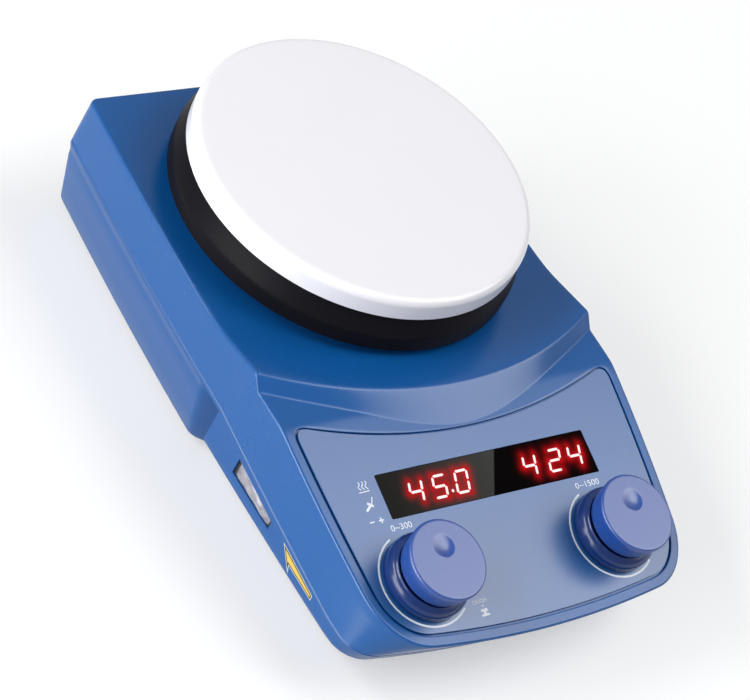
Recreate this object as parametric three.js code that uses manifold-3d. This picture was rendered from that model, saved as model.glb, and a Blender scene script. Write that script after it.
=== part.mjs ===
// Hotplate stirrer: a round heated plate over a spinning magnet, in a two-part housing with a sloping control
// panel, two push-and-turn knobs and a number display.
// Millimetres, +X to the right, -Y to the front, +Z up. The origin lies on the bench under the housing's middle.

import * as THREE from 'three';
import { mergeVertices } from 'three/addons/utils/BufferGeometryUtils.js';
import Module from 'manifold-3d';

const wasm = await Module();
wasm.setup();

// Fits shared by all pieces
const seat = 0.3; // gap left between pieces that touch
const overrun = 4; // how far a cut runs past what it cuts

// Plan: the housing is laid out round the plate, and the panel is put before it
const plateRadius = 67.5;
const plateSideMargin = 10.7; // from the plate to the housing's edge, where the sides bulge most
const plateBackMargin = 5; // from the plate to the back wall
const plateFrontMargin = 23; // from the plate to the panel's upper end
const panelLength = 87; // of the sloping panel, along the bench

// Housing, outer form
const widestSetback = 25; // of that place behind the panel's upper end
const rearTaper = 5.5; // how much the sides draw in up to the back
const frontTaper = 8.8; // how much the panel's edges draw in up to the front
const skirtTaper = 3; // how much the skirt below them draws in
const frontBow = 7.5; // of the front edge in plan
const rearCornerRadius = 4;
const panelCornerRadius = 20;
const skirtCornerRadius = 10;
const deckHeight = 57.1;
const panelSlope = THREE.MathUtils.degToRad(13.5);
const sideDraft = 1.4; // how far the side leans out from deck to seam, where it is widest
const footHeight = 3;

// Housing, wave between deck and panel
const crestRise = 5.3;
const crestSetback = 4.3; // of the crest behind the panel's upper end, in the middle
const crestRadius = 160; // of the crest's arc in plan
const crestRound = 1.6; // flat taken off the crest's edge
const rampWidth = 26;
const bandReach = 10; // of the steep band into the panel, in the middle
const bandSideSlope = 0.53; // how the band's foot falls back to the sides
const bandFootRound = 16.8; // half width of the rounded tip of the band's foot

// Housing, seam between the shells
const seamHeight = 37.5;
const seamBendSetback = 29.5; // of the seam's bend behind the panel's upper end
const seamFrontLevel = 30.5; // length of its level stretch round the front
const seamFrontHeight = 26;
const seamGap = 0.4;

// Housing, lower walls
const skirtBottom = 18.5;
const skirtRound = 1.5;
const frontLean = 8.8; // how far the front wall falls back to the skirt's bottom
const undersideInset = 13;
const gripInset = 7.9; // how far the rear side wall leans in above its bottom edge
const gripShoulder = 6; // height of the upright strip's curve below the seam
const gripStrip = 2; // upright strip between seam and grip
const gripBottomRound = 2.6;
const scoopLength = 25.5;
const scoopDepth = 9;

// Housing, walls
const wall = 2.5;
const topWall = 3;
const floorThickness = 2.5;

// Heated plate and what carries it
const plateThickness = 9.5;
const plateEdgeRound = 3;
const neckInset = 5.5; // of the neck inside the plate's edge
const neckRise = 4.1;
const throatInset = 25.5; // of the throat in the neck inside the plate's edge
const ringProud = 2.2; // how far the ring stands out past the plate
const ringWall = 2.4;
const ringFlangeWidth = 11.5;
const ringFlangeThickness = 2;
const ringUpright = 7.6; // height of the ring's upright wall
const ringShoulder = 3.6; // how far its shoulder draws in
const postInset = 17.5; // of the posts inside the plate's edge
const postRadius = 2.8;
const postCollarRadius = 5;
const shieldThickness = 0.8;
const stackInset = 11.5; // of heat shield, insulation and heating element inside the plate's edge
const insulationThickness = 5.4;
const heaterThickness = 5.2;
const heaterHoleRadius = 12;
const sensorRadius = 3;

// Magnetic drive
const magnetRadius = 6.5;
const magnetHeight = 4.8;
const magnetProud = 2.1;
const magnetGap = 1.2; // below the heat shield
const carrierInset = 7; // of the carrier's ends inside the throat
const magnetInset = 10; // of the magnets' axes from the carrier's ends
const carrierHalfWidth = 9;
const carrierThickness = 5;
const hubRadius = 6;
const hubLength = 5.5;
const shaftRadius = 2.5;
const shaftBare = 5.7; // length of shaft between motor and hub
const motorRadius = 28;
const motorHeight = 24;
const motorBossRadius = 8;
const motorBossHeight = 4.3;
const bracketThickness = 2;
const bracketPostReach = 12; // of the bracket's posts outside the motor
const bracketPostSpread = 11;
const bracketLap = 7; // of the bracket past its posts

// Control panel, measured down its slope from its upper end
const overlayThickness = 0.8;
const overlayMargin = 5; // from the housing's edge
const overlayTopApex = 11.7;
const overlayTopSag = 12.3;
const overlayTopRadius = 4;
const overlayBottomRadius = 16;
const grooveWidth = 1;
const windowSideInset = 29.5; // from the housing's widest edge
const windowTop = 21;
const windowHeight = 17.3;
const windowThickness = 1.6;
const windowLedge = 1.5;
const knobFrontInset = 28.3; // of the knobs' axes from the panel's front edge
const leftKnobInset = 31.9; // from the housing's widest edge
const rightKnobInset = 36.3;

// Knobs and encoders, heights above the panel
const knobRadius = 16.5;
const knobHeight = 8.1;
const knobEdgeRound = 1.1;
const knobWall = 2;
const knobHubRadius = 5.6;
const knobHubDrop = 3.8; // of the hub below the cap
const knobTravel = 1;
const knobGap = 1.3; // between cap and collar
const collarRadius = 15.8;
const collarHeight = 5.2;
const collarRound = 1.2;
const dimplePlace = 6;
const dimpleRadius = 4.4;
const dimpleDepth = 1.2;
const encoderShaftRadius = 3;
const encoderWidth = 13;
const encoderHeight = 5.4;
const encoderShell = 0.8;
const bushingRadius = 4.4;
const bushingProud = 1.5;
const wiperRadius = 4.7;
const wiperThickness = 2.6;

// Display
const ledHalfGap = 0.8;
const ledHeight = 13.4;
const ledThickness = 7;
const boardThickness = 1.6;
const displayBoardLap = 9.8; // of the board past the window's ends
const displayBoardLead = 4; // of the board above the window
const encoderLap = 2.3; // of the board past the encoders
const bossRadius = 2.4;
const bossInset = 3; // of the bosses' axes from a board's edges

// Power switch in the left side
const switchLead = 2.4; // of the switch's middle in front of the panel's upper end
const switchCutLength = 26.2;
const switchCutDrop = 3.6; // of the cut-out's top below the seam
const switchCutLow = 4; // height of the cut-out at its low front end
const switchBodyLength = 30;
const switchBodyHeight = 11.5;
const switchBodyDepth = 16;
const switchBodyClear = 1.7; // between the wall and the switch's body
const rockerLength = 24;
const rockerHeight = 7.4;
const rockerDip = 1.2; // of the middle of the rocker's face
const rockerDepth = 5.2;
const rockerSunk = 3.2; // of the rocker's face below the body's face
const rockerTilt = THREE.MathUtils.degToRad(8);
const bootWall = 0.6;
const bootTaper = 0.5;

// Back
const rearPanelInset = 14.7; // from the housing's edge
const rearPanelThickness = 2;
const rearPanelLap = 3;
const rearWindowBottom = 13.8;
const rearWindowHeight = 30.6;
const flangeThickness = 2.2;
const inletPlace = -26;
const inletWidth = 31;
const inletBodyWidth = 28;
const inletDepth = 21;
const inletMargin = 1.6;
const socketWidth = 24.4;
const socketHeight = 16.6;
const socketDepth = 16;
const socketChamfer = 4;
const pinWidth = 2;
const pinHeight = 4;
const pinLength = 10.8;
const pinSpacing = 7;
const pinStagger = 3.6;
const drawerWidth = 22;
const drawerHeight = 7;
const drawerDepth = 13;
const drawerWall = 0.9;
const drawerFront = 3;
const fuseRadius = 2.3;
const fuseLength = 19.4;
const probePlace = 30;
const probeFlangeRadius = 9.5;
const probeBodyRadius = 8;
const probeBodyDepth = 15;
const probeBoreRadius = 5.8;
const probeBoreDepth = 8;
const rodClear = 1.2; // between the rod bush and the ring under the plate
const rodBushRadius = 5.5;
const rodFlangeRadius = 8;
const rodFlangeThickness = 1.2;
const rodBushLength = 20;
const rodBoreRadius = 4.2;
const rodBoreDepth = 18;
const rodBossRadius = 8.5;
const rodBossDrop = 13;

// Electronics on the floor
const mainBoardInset = 28.2; // from the housing's widest edge
const mainBoardLength = 58;
const mainBoardSetback = 24; // of its back edge behind the panel's upper end
const mainBoardRise = 5.5; // above the floor
const transformerWidth = 34;
const transformerLength = 28;
const transformerHeight = 25;
const coilSide = 3; // how far the winding stands out of the core
const relayWidth = 19;
const relayLength = 15;
const relayHeight = 15.5;
const capacitorRadius = 8;
const capacitorHeight = 24;
const sinkWidth = 14;
const sinkLength = 30;
const sinkHeight = 22;
const finCount = 6;
const finShare = 0.45; // of the pitch that a fin fills

// Fixings of the housing
const pillarRadius = 4;
const pillarSideInset = 11.5;
const rearPillarFromBack = 38;
const frontPillarFromFront = 48;
const footRadius = 8;
const footNubRadius = 3;
const footNubHeight = 2.3;
const footBossRadius = 6;
const footBossRise = 2.5;
const footSideInset = 24;
const rearFootFromBack = 17;
const frontFootFromFront = 41;
const ventCount = 7;
const ventPitch = 9;
const ventWidth = 3;
const ventLength = 30;

// Sizes and places worked out from those above
const housingLength = 2 * plateRadius + plateBackMargin + plateFrontMargin + panelLength;
const widestHalfWidth = plateRadius + plateSideMargin;
const ringRadius = plateRadius + ringProud;
const neckRadius = plateRadius - neckInset;
const throatRadius = plateRadius - throatInset;
const stackRadius = plateRadius - stackInset;
const carrierHalfLength = throatRadius - carrierInset;
const magnetReach = carrierHalfLength - magnetInset;
const windowHalfWidth = widestHalfWidth - windowSideInset;
const leftKnobPlace = leftKnobInset - widestHalfWidth;
const rightKnobPlace = widestHalfWidth - rightKnobInset;
const panelReach = panelLength / Math.cos(panelSlope); // down the slope
const knobPlaceDown = panelReach - knobFrontInset;
const back = housingLength / 2;
const front = -back;
const panelTop = front + panelLength;
const widestPlace = panelTop + widestSetback;
const plateCentre = back - plateBackMargin - plateRadius;
const floorTop = footHeight + floorThickness;
const neckTop = deckHeight + neckRise;
const seamBend = panelTop + seamBendSetback;
const seamLowEnd = front + seamFrontLevel;
const switchPlace = panelTop - switchLead;
const skyHeight = deckHeight + crestRise + overrun;

// Materials
const blueEnamel = () => paint(0x2f62a8, 0.38, 0.1);
const knobBlue = () => paint(0x6677bd, 0.45, 0);
const charcoal = () => paint(0x2b292d, 0.6, 0);
const whiteCeramic = () => paint(0xf4f3fc, 0.3, 0);
const steel = () => paint(0xb9bcc0, 0.35, 1);
const brass = () => paint(0xb08d57, 0.35, 1);
const blackPlastic = () => paint(0x1b1b1d, 0.5, 0);
const circuitGreen = () => paint(0x1f5b3a, 0.5, 0);

function paint(color, roughness, metalness) {
  return new THREE.MeshStandardMaterial({ color, roughness, metalness });
}

// Solids

// Signed volume of a closed indexed mesh, positive where its faces point out.
function signedVolume(positions, index) {
  const corner = [new THREE.Vector3(), new THREE.Vector3(), new THREE.Vector3()];
  let total = 0;
  for (let i = 0; i < index.length; i += 3) {
    corner.forEach((point, k) => point.fromArray(positions, index[i + k] * 3));
    total += corner[0].dot(corner[1].cross(corner[2])) / 6;
  }
  return total;
}

// A three.js geometry as a solid: shared vertices merged, slivers dropped, faces turned outwards.
function solid(geometry) {
  const source = geometry.clone();
  source.deleteAttribute('normal');
  source.deleteAttribute('uv');
  const merged = mergeVertices(source);
  const positions = new Float32Array(merged.attributes.position.array);
  const kept = [];
  for (let i = 0; i < merged.index.count; i += 3) {
    const [a, b, c] = [0, 1, 2].map((k) => merged.index.getX(i + k));
    if (a !== b && b !== c && c !== a) kept.push(a, b, c);
  }
  if (signedVolume(positions, kept) < 0) kept.reverse();
  return new wasm.Manifold(
    new wasm.Mesh({ numProp: 3, vertProperties: positions, triVerts: new Uint32Array(kept) }),
  );
}

// A solid back as a three.js geometry.
function geometryOf(body) {
  const mesh = body.getMesh();
  const geometry = new THREE.BufferGeometry();
  geometry.setAttribute('position', new THREE.Float32BufferAttribute(mesh.vertProperties, 3));
  geometry.setIndex(new THREE.Uint32BufferAttribute(mesh.triVerts, 1));
  geometry.computeVertexNormals();
  return geometry;
}

function joined(...bodies) {
  return bodies.reduce((sum, body) => sum.add(body));
}

function cut(body, ...tools) {
  return tools.reduce((rest, tool) => rest.subtract(tool), body);
}

// A closed skin over rings of points, with a cap on the first and the last ring; flat drops the axis they stack on.
function loft(given, flat) {
  const clockwise = THREE.ShapeUtils.isClockWise(given[0].map(flat));
  const rings = clockwise ? given.map((ring) => [...ring].reverse()) : given;
  const count = rings[0].length;
  const positions = rings.flat().flatMap((point) => point.toArray());
  const index = [];
  for (let level = 0; level + 1 < rings.length; level += 1) {
    for (let i = 0; i < count; i += 1) {
      const a = level * count + i;
      const b = level * count + ((i + 1) % count);
      index.push(a, b, b + count, a, b + count, a + count);
    }
  }
  const last = (rings.length - 1) * count;
  for (const [a, b, c] of THREE.ShapeUtils.triangulateShape(rings[0].map(flat), [])) index.push(c, b, a);
  for (const [a, b, c] of THREE.ShapeUtils.triangulateShape(rings.at(-1).map(flat), [])) {
    index.push(last + a, last + b, last + c);
  }
  const geometry = new THREE.BufferGeometry();
  geometry.setAttribute('position', new THREE.Float32BufferAttribute(positions, 3));
  geometry.setIndex(index);
  return solid(geometry);
}

// A profile of [radius, height] points turned about the Z axis, moved to x, y.
function turned(profile, segments, x = 0, y = 0) {
  const points = profile.map(([radius, height]) => new THREE.Vector2(radius, height));
  return solid(new THREE.LatheGeometry(points, segments).rotateX(Math.PI / 2).translate(x, y, 0));
}

// A round bar from low to high.
function round(radius, low, high, x = 0, y = 0, segments = 20) {
  return turned([[0, low], [radius, low], [radius, high], [0, high]], segments, x, y);
}

// A ring from low to high.
function tube(inner, outer, low, high, x = 0, y = 0, segments = 48) {
  return turned([[inner, low], [outer, low], [outer, high], [inner, high], [inner, low]], segments, x, y);
}

// A block between two corners.
function block(lowX, lowY, lowZ, highX, highY, highZ) {
  const geometry = new THREE.BoxGeometry(highX - lowX, highY - lowY, highZ - lowZ);
  return solid(geometry.translate((lowX + highX) / 2, (lowY + highY) / 2, (lowZ + highZ) / 2));
}

// A flat outline of [x, y] points drawn out from low to high.
function prism(points, low, high) {
  const shape = new THREE.Shape(points.map(([x, y]) => new THREE.Vector2(x, y)));
  const geometry = new THREE.ExtrudeGeometry(shape, { depth: high - low, bevelEnabled: false });
  return solid(geometry.translate(0, 0, low));
}

// The same body moved by a matrix.
function moved(body, matrix) {
  return solid(geometryOf(body).applyMatrix4(matrix));
}

// Straight-line value of a table of [place, value] rows, in falling order of place.
function along(table, place) {
  if (place >= table[0][0]) return table[0][1];
  for (let i = 0; i + 1 < table.length; i += 1) {
    const [[high, highValue], [low, lowValue]] = [table[i], table[i + 1]];
    if (place >= low) return lowValue + ((highValue - lowValue) * (place - low)) / Math.max(high - low, 1e-9);
  }
  return table.at(-1)[1];
}

// Rounded rectangle of [x, y] points about the origin.
function roundedRectangle(width, height, radius, steps = 4) {
  const points = [];
  for (const [signX, signY, start] of [[1, 1, 0], [-1, 1, 1], [-1, -1, 2], [1, -1, 3]]) {
    for (let i = 0; i <= steps; i += 1) {
      const angle = ((start + i / steps) * Math.PI) / 2;
      const x = signX * (width / 2 - radius) + radius * Math.cos(angle);
      const y = signY * (height / 2 - radius) + radius * Math.sin(angle);
      points.push([x, y]);
    }
  }
  return points;
}

// A named mesh in a material of its own
const stirrer = new THREE.Group();

function piece(name, body, material, parent = stirrer) {
  const mesh = new THREE.Mesh(geometryOf(body), material);
  mesh.name = name;
  parent.add(mesh);
}

// Housing surfaces

// Half width at a place y, drawn in along parabolas from the widest place to the back and the front.
function drawnIn(halfWidth, taperToFront, y) {
  const behind = y > widestPlace;
  const share = (y - widestPlace) / (behind ? back - widestPlace : widestPlace - front);
  return halfWidth - (behind ? rearTaper : taperToFront) * share * share;
}

// Half width along the upper edge of the sides, and along the skirt.
const edgeHalfWidth = (y) => drawnIn(widestHalfWidth, frontTaper, y);
const skirtHalfWidth = (y) => drawnIn(widestHalfWidth + sideDraft, skirtTaper, y);

// Height of the panel's plane, and of deck and panel together, at a place y.
const panelHeight = (y) => deckHeight - (panelTop - y) * Math.tan(panelSlope);
const surfaceHeight = (y) => Math.min(deckHeight, panelHeight(y));

// Height of the seam at a place y: level behind the bend, falling to the front, level again round the front.
function seamAt(y) {
  const share = THREE.MathUtils.clamp((seamBend - y) / (seamBend - seamLowEnd), 0, 1);
  return THREE.MathUtils.lerp(seamHeight, seamFrontHeight, share);
}

const panelFrontHeight = panelHeight(front);

// Half width of the sides at a place y and a height z: straight from the upper edge out to the seam.
function hullHalfWidth(y, z) {
  const lean = (surfaceHeight(y) - z) / (surfaceHeight(y) - seamAt(y));
  return THREE.MathUtils.lerp(edgeHalfWidth(y), skirtHalfWidth(y), THREE.MathUtils.clamp(lean, 0, 1));
}

// How far the side and the front fall back at each height.
const skirtSideTable = [
  [skirtBottom + skirtRound, 0],
  [skirtBottom, -skirtRound],
  [footHeight, -undersideInset],
];
const skirtFrontTable = [
  [panelFrontHeight, 0],
  [skirtBottom + skirtRound, frontLean],
  [skirtBottom, frontLean + skirtRound],
  [footHeight, frontLean + undersideInset],
];
const gripTop = seamHeight - gripStrip;
const gripFootHeight = footHeight + gripBottomRound;
const gripSideTable = [
  [gripTop, sideDraft],
  [gripTop - gripShoulder, 0],
  [gripFootHeight, -gripInset],
  [footHeight, -gripInset - gripBottomRound],
];

// How deep the hand-grip scoop goes at a place y: a quarter ellipse that ends at the step.
function scoopAt(y) {
  const share = THREE.MathUtils.clamp((seamBend + scoopLength - y) / scoopLength, 0, 1);
  return scoopDepth * (1 - Math.sqrt(1 - share * share));
}

// The two forms of the lower housing. The grip form stands behind the step and runs on under the skirt.
const skirtForm = {
  halfWidth: (y, z) => hullHalfWidth(y, z) + along(skirtSideTable, z),
  front: (z) => along(skirtFrontTable, z),
  corner: (z) => (z >= panelFrontHeight ? panelCornerRadius : skirtCornerRadius),
  scoop: () => 0,
  steps: [3, 1, 4],
};
const gripForm = {
  halfWidth: (y, z) => edgeHalfWidth(y) + along(gripSideTable, z),
  front: () => frontLean + 2 * undersideInset,
  corner: () => skirtCornerRadius,
  scoop: scoopAt,
  steps: [2, 8, 1],
};

// Outline of the housing at height z as a closed loop, anticlockwise from above, inset by a wall.
function outline(form, z, inset = 0, scooped = true) {
  const halfWidth = (y) => form.halfWidth(y, z) - inset - (scooped ? form.scoop(y) : 0);
  const rearEnd = back - inset;
  const frontEdge = (x) => front + form.front(z) + inset + frontBow * (x / widestHalfWidth) ** 2;
  const rearRadius = Math.max(rearCornerRadius - inset, seat);
  const radius = form.corner(z) - inset;
  const sideEnd = frontEdge(halfWidth(front + form.front(z) + inset + radius)) + radius;
  const rearWidth = halfWidth(rearEnd - rearRadius);
  const half = [];
  for (let i = 0; i <= 3; i += 1) {
    const angle = (i / 3) * (Math.PI / 2);
    half.push([
      rearWidth - rearRadius + rearRadius * Math.sin(angle),
      rearEnd - rearRadius + rearRadius * Math.cos(angle),
    ]);
  }
  const stations = [rearEnd - rearRadius, seamBend + scoopLength, seamBend, sideEnd];
  form.steps.forEach((steps, stretch) => {
    for (let i = 1; i <= steps; i += 1) {
      const y = THREE.MathUtils.lerp(stations[stretch], stations[stretch + 1], i / steps);
      half.push([halfWidth(y), y]);
    }
  });
  const endWidth = halfWidth(sideEnd) - radius;
  const pull = radius * 0.5523;
  const corner = new THREE.CubicBezierCurve(
    new THREE.Vector2(halfWidth(sideEnd), sideEnd),
    new THREE.Vector2(halfWidth(sideEnd - pull), sideEnd - pull),
    new THREE.Vector2(endWidth + pull, frontEdge(endWidth + pull)),
    new THREE.Vector2(endWidth, frontEdge(endWidth)),
  );
  for (const point of corner.getPoints(5).slice(1)) half.push(point.toArray());
  for (let i = 1; i < 3; i += 1) half.push([endWidth * (1 - i / 3), frontEdge(endWidth * (1 - i / 3))]);
  const whole = [
    ...half.map(([x, y]) => [-x, y]),
    [0, frontEdge(0)],
    ...half.reverse(),
  ];
  return whole.map(([x, y]) => new THREE.Vector3(x, y, z));
}

const seenFromAbove = (point) => new THREE.Vector2(point.x, point.y);
const seenFromSide = (point) => new THREE.Vector2(point.y, point.z);

// The skirt form from the sky down to a bottom height.
function skirtSolid(inset, bottom) {
  const edges = [skirtBottom, skirtBottom + skirtRound, seamFrontHeight, panelFrontHeight];
  const levels = [...edges, (panelFrontHeight + deckHeight) / 2, deckHeight, skyHeight].filter((z) => z > bottom);
  return loft([bottom, ...levels].map((z) => outline(skirtForm, z, inset)), seenFromAbove);
}

// The grip form from above the seam down to a bottom height, with its scoops below the upright strip.
function gripSolid(inset, bottom) {
  const heights = [gripFootHeight, gripTop - gripShoulder, gripTop - gripShoulder / 2, gripTop];
  const levels = heights.filter((z) => z > bottom);
  return loft(
    [
      ...[bottom, ...levels].map((z) => outline(gripForm, z, inset)),
      outline(gripForm, gripTop, inset, false),
      outline(gripForm, skyHeight, inset, false),
    ],
    seenFromAbove,
  );
}

// Everything above the housing's top: level deck, ramp, rounded crest, steep band, shelf and panel, lowered by a
// wall where it cuts the inside, in a number of steps across.
function spaceAboveTop(lowered, steps) {
  const reach = widestHalfWidth + sideDraft + overrun;
  const sections = [];
  for (let i = 0; i <= steps; i += 1) {
    const x = reach * ((2 * i) / steps - 1);
    const fallBack = crestRadius - Math.sqrt(crestRadius ** 2 - x ** 2);
    const crest = panelTop + crestSetback + fallBack;
    const rise = bandSideSlope * x;
    const foot = Math.min(
      panelTop - bandReach + Math.sqrt(rise ** 2 + bandFootRound ** 2) - bandFootRound,
      crest - crestRound * 2,
    );
    const bend = Math.min(panelTop, foot - seat);
    const surface = (y) => surfaceHeight(y) - lowered;
    const crestTop = deckHeight + crestRise - lowered;
    const line = [
      [back + overrun, surface(back)],
      [crest + rampWidth, surface(crest + rampWidth)],
      [crest + crestRound, crestTop - (crestRise * crestRound) / rampWidth],
      [crest, crestTop],
      [crest - crestRound / 2, crestTop - crestRound / 4],
      [foot, surface(foot)],
      [bend, surface(bend)],
      [front - overrun, surface(front - overrun)],
    ];
    sections.push([
      new THREE.Vector3(x, back + overrun, skyHeight + overrun),
      ...line.map(([y, z]) => new THREE.Vector3(x, y, z)),
      new THREE.Vector3(x, front - overrun, skyHeight + overrun),
    ]);
  }
  return loft(sections, seenFromSide);
}

// Everything above the seam, lifted or lowered by a shift.
function spaceAboveSeam(shift) {
  const reach = widestHalfWidth + sideDraft + overrun;
  const line = [back + overrun, seamBend, seamLowEnd, front - overrun].map((y) => [y, seamAt(y) + shift]);
  const section = [[back + overrun, skyHeight + 2 * overrun], ...line, [front - overrun, skyHeight + 2 * overrun]];
  return loft(
    [-reach, reach].map((x) => section.map(([y, z]) => new THREE.Vector3(x, y, z))),
    seenFromSide,
  );
}

// The control panel's own frame: X to the right, Y up the slope, Z out of the panel.
const panel = new THREE.Group();
panel.position.set(0, panelTop, deckHeight);
panel.rotation.x = panelSlope;
panel.updateMatrix();
stirrer.add(panel);
const onPanel = (body) => moved(body, panel.matrix);

// Loop of the overlay on the panel, grown outwards by a width.
function overlayOutline(grown) {
  const placeOf = (down) => panelTop - down * Math.cos(panelSlope);
  const side = (down) => edgeHalfWidth(placeOf(down)) - overlayMargin + grown;
  const top = (x) => overlayTopApex - grown - overlayTopSag * (x / side(0)) ** 2;
  const bottomMiddle = panelReach - overlayMargin + grown;
  const bottom = (x) => bottomMiddle - frontBow * (x / widestHalfWidth) ** 2;
  const topRadius = overlayTopRadius + grown;
  const bottomRadius = overlayBottomRadius + grown;
  const topCorner = top(side(0));
  const lowEnd = bottom(side(bottomMiddle)) - bottomRadius;
  const half = [];
  for (let i = 0; i < 8; i += 1) {
    const x = ((side(0) - topRadius) * i) / 8;
    half.push([x, top(x)]);
  }
  const upper = new THREE.QuadraticBezierCurve(
    new THREE.Vector2(side(0) - topRadius, top(side(0) - topRadius)),
    new THREE.Vector2(side(topCorner), topCorner),
    new THREE.Vector2(side(topCorner + topRadius), topCorner + topRadius),
  );
  for (const point of upper.getPoints(4)) half.push(point.toArray());
  for (let i = 1; i < 4; i += 1) {
    const down = topCorner + topRadius + ((lowEnd - topCorner - topRadius) * i) / 4;
    half.push([side(down), down]);
  }
  const lowWidth = side(lowEnd) - bottomRadius;
  const pull = bottomRadius * 0.5523;
  const lower = new THREE.CubicBezierCurve(
    new THREE.Vector2(side(lowEnd), lowEnd),
    new THREE.Vector2(side(lowEnd + pull), lowEnd + pull),
    new THREE.Vector2(lowWidth + pull, bottom(lowWidth + pull)),
    new THREE.Vector2(lowWidth, bottom(lowWidth)),
  );
  for (const point of lower.getPoints(6)) half.push(point.toArray());
  half.push([lowWidth / 2, bottom(lowWidth / 2)], [0, bottom(0)]);
  const mirrored = half.slice(1, -1).reverse().map(([x, y]) => [-x, y]);
  return [...half, ...mirrored].map(([x, y]) => [x, -y]);
}

// Screw pillars, in pairs across the housing
const pillarPlaces = [back - rearPillarFromBack, front + frontPillarFromFront].flatMap((y) => {
  const x = edgeHalfWidth(y) - pillarSideInset;
  return [[x, y], [-x, y]];
});
const footPlaces = {
  foot_front_left: [-1, front + frontFootFromFront],
  foot_front_right: [1, front + frontFootFromFront],
  foot_rear_left: [-1, back - rearFootFromBack],
  foot_rear_right: [1, back - rearFootFromBack],
};
for (const place of Object.values(footPlaces)) place[0] *= edgeHalfWidth(place[1]) - footSideInset;

// Window in the back wall, and the place of the rod bush behind the plate
const rearPanelHalfWidth = edgeHalfWidth(back) - rearPanelInset;
const rearWindow = block(
  -rearPanelHalfWidth + rearPanelLap,
  back - wall - overrun,
  rearWindowBottom,
  rearPanelHalfWidth - rearPanelLap,
  back + overrun,
  rearWindowBottom + rearWindowHeight,
);
const rodReach = (ringRadius + rodClear + rodFlangeRadius) * Math.SQRT1_2;
const rodPlace = [rodReach, plateCentre + rodReach];

// Display board behind the panel
const displayBoardHalfWidth = windowHalfWidth + displayBoardLap;
const displayBoardTop = windowTop - displayBoardLead;
const displayBoardBottom = knobPlaceDown + encoderWidth / 2 + encoderLap;

// Upper housing: a shell with the neck, the throat for the magnets, and bosses for board, rod and screws
{
  const inside = cut(skirtSolid(wall, floorTop), spaceAboveTop(topWall, 8));
  const shell = cut(skirtSolid(0, footHeight), spaceAboveTop(0, 20), inside);
  const boardBossTop = -(overlayThickness + seat + topWall) / 2;
  const boardTop = -windowThickness - seat - ledThickness - seat;
  const bossPlace = displayBoardHalfWidth - bossInset;
  const boardBosses = [displayBoardTop + bossInset, displayBoardBottom - bossInset].flatMap((down) =>
    [-bossPlace, bossPlace].map((x) =>
      onPanel(round(bossRadius, boardTop + seat, boardBossTop, x, -down, 10)),
    ),
  );
  const pillars = pillarPlaces.map(([x, y]) => {
    const roof = surfaceHeight(y) - topWall / 2;
    return round(pillarRadius, seamAt(y) - overrun, roof, x, y, 12);
  });
  const rodBoss = round(rodBossRadius, deckHeight - rodBossDrop, deckHeight - topWall / 2, ...rodPlace);
  const neck = round(neckRadius, deckHeight - topWall / 2, neckTop, 0, plateCentre, 48);
  const whole = joined(shell, neck, rodBoss, ...boardBosses, ...pillars);
  const clearWindow = windowHalfWidth - windowLedge;
  const windowMiddle = -windowTop - windowHeight / 2;
  const deep = -topWall - overrun;
  const cuts = [
    round(throatRadius, deckHeight - topWall - overrun, neckTop + overrun, 0, plateCentre, 36),
    round(rodBushRadius + seat, deckHeight - rodBossDrop - overrun, deckHeight + overrun, ...rodPlace),
    rearWindow,
    onPanel(prism(overlayOutline(grooveWidth), -overlayThickness - seat, overrun)),
    onPanel(
      block(
        -windowHalfWidth - seat,
        -windowTop - windowHeight - seat,
        -windowThickness - seat,
        windowHalfWidth + seat,
        -windowTop + seat,
        overrun,
      ),
    ),
    onPanel(
      block(
        -clearWindow,
        windowMiddle - windowHeight / 2 + windowLedge,
        deep,
        clearWindow,
        windowMiddle + windowHeight / 2 - windowLedge,
        overrun,
      ),
    ),
    ...[leftKnobPlace, rightKnobPlace].map((x) =>
      onPanel(round(bushingRadius + seat, deep, overrun, x, -knobPlaceDown, 24)),
    ),
  ];
  const above = spaceAboveSeam(0);
  piece('upper_housing', cut(whole, ...cuts).intersect(above), blueEnamel());
}

// Lower shell: front skirt and scooped rear tub, with pillars, bracket posts, foot bosses and vents
const magnetTop = neckTop + seat + ringFlangeThickness + seat - magnetGap;
const carrierTop = magnetTop - magnetProud;
const hubBottom = carrierTop - carrierThickness - hubLength;
const bracketLow = hubBottom - shaftBare - motorBossHeight;
const motorTop = bracketLow - seat;
const bracketPosts = [-1, 1].flatMap((sideX) =>
  [-1, 1].map((sideY) => [
    sideX * (motorRadius + bracketPostReach),
    plateCentre + sideY * bracketPostSpread,
  ]),
);
const mainBoardHalfWidth = widestHalfWidth - mainBoardInset;
const mainBoardBack = panelTop + mainBoardSetback;
const mainBoardFront = mainBoardBack - mainBoardLength;
const mainBoardLow = floorTop + mainBoardRise;
const mainBossPlaces = [-1, 1].flatMap((side) =>
  [mainBoardBack - bossInset, mainBoardFront + bossInset].map((y) => [
    side * (mainBoardHalfWidth - bossInset),
    y,
  ]),
);

// The power switch's cut-out in the left side, as [y, z] points
const switchRear = switchPlace + switchCutLength / 2;
const switchFront = switchPlace - switchCutLength / 2;
const switchSill = seamAt(switchFront) - switchCutDrop - switchCutLow;
function switchOutline(inset) {
  const lintel = (y) => seamAt(y) - switchCutDrop - inset;
  return [
    [switchRear - inset, switchSill + inset],
    [switchRear - inset, lintel(switchRear)],
    [switchFront + inset, lintel(switchFront)],
    [switchFront + inset, switchSill + inset],
  ];
}

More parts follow.
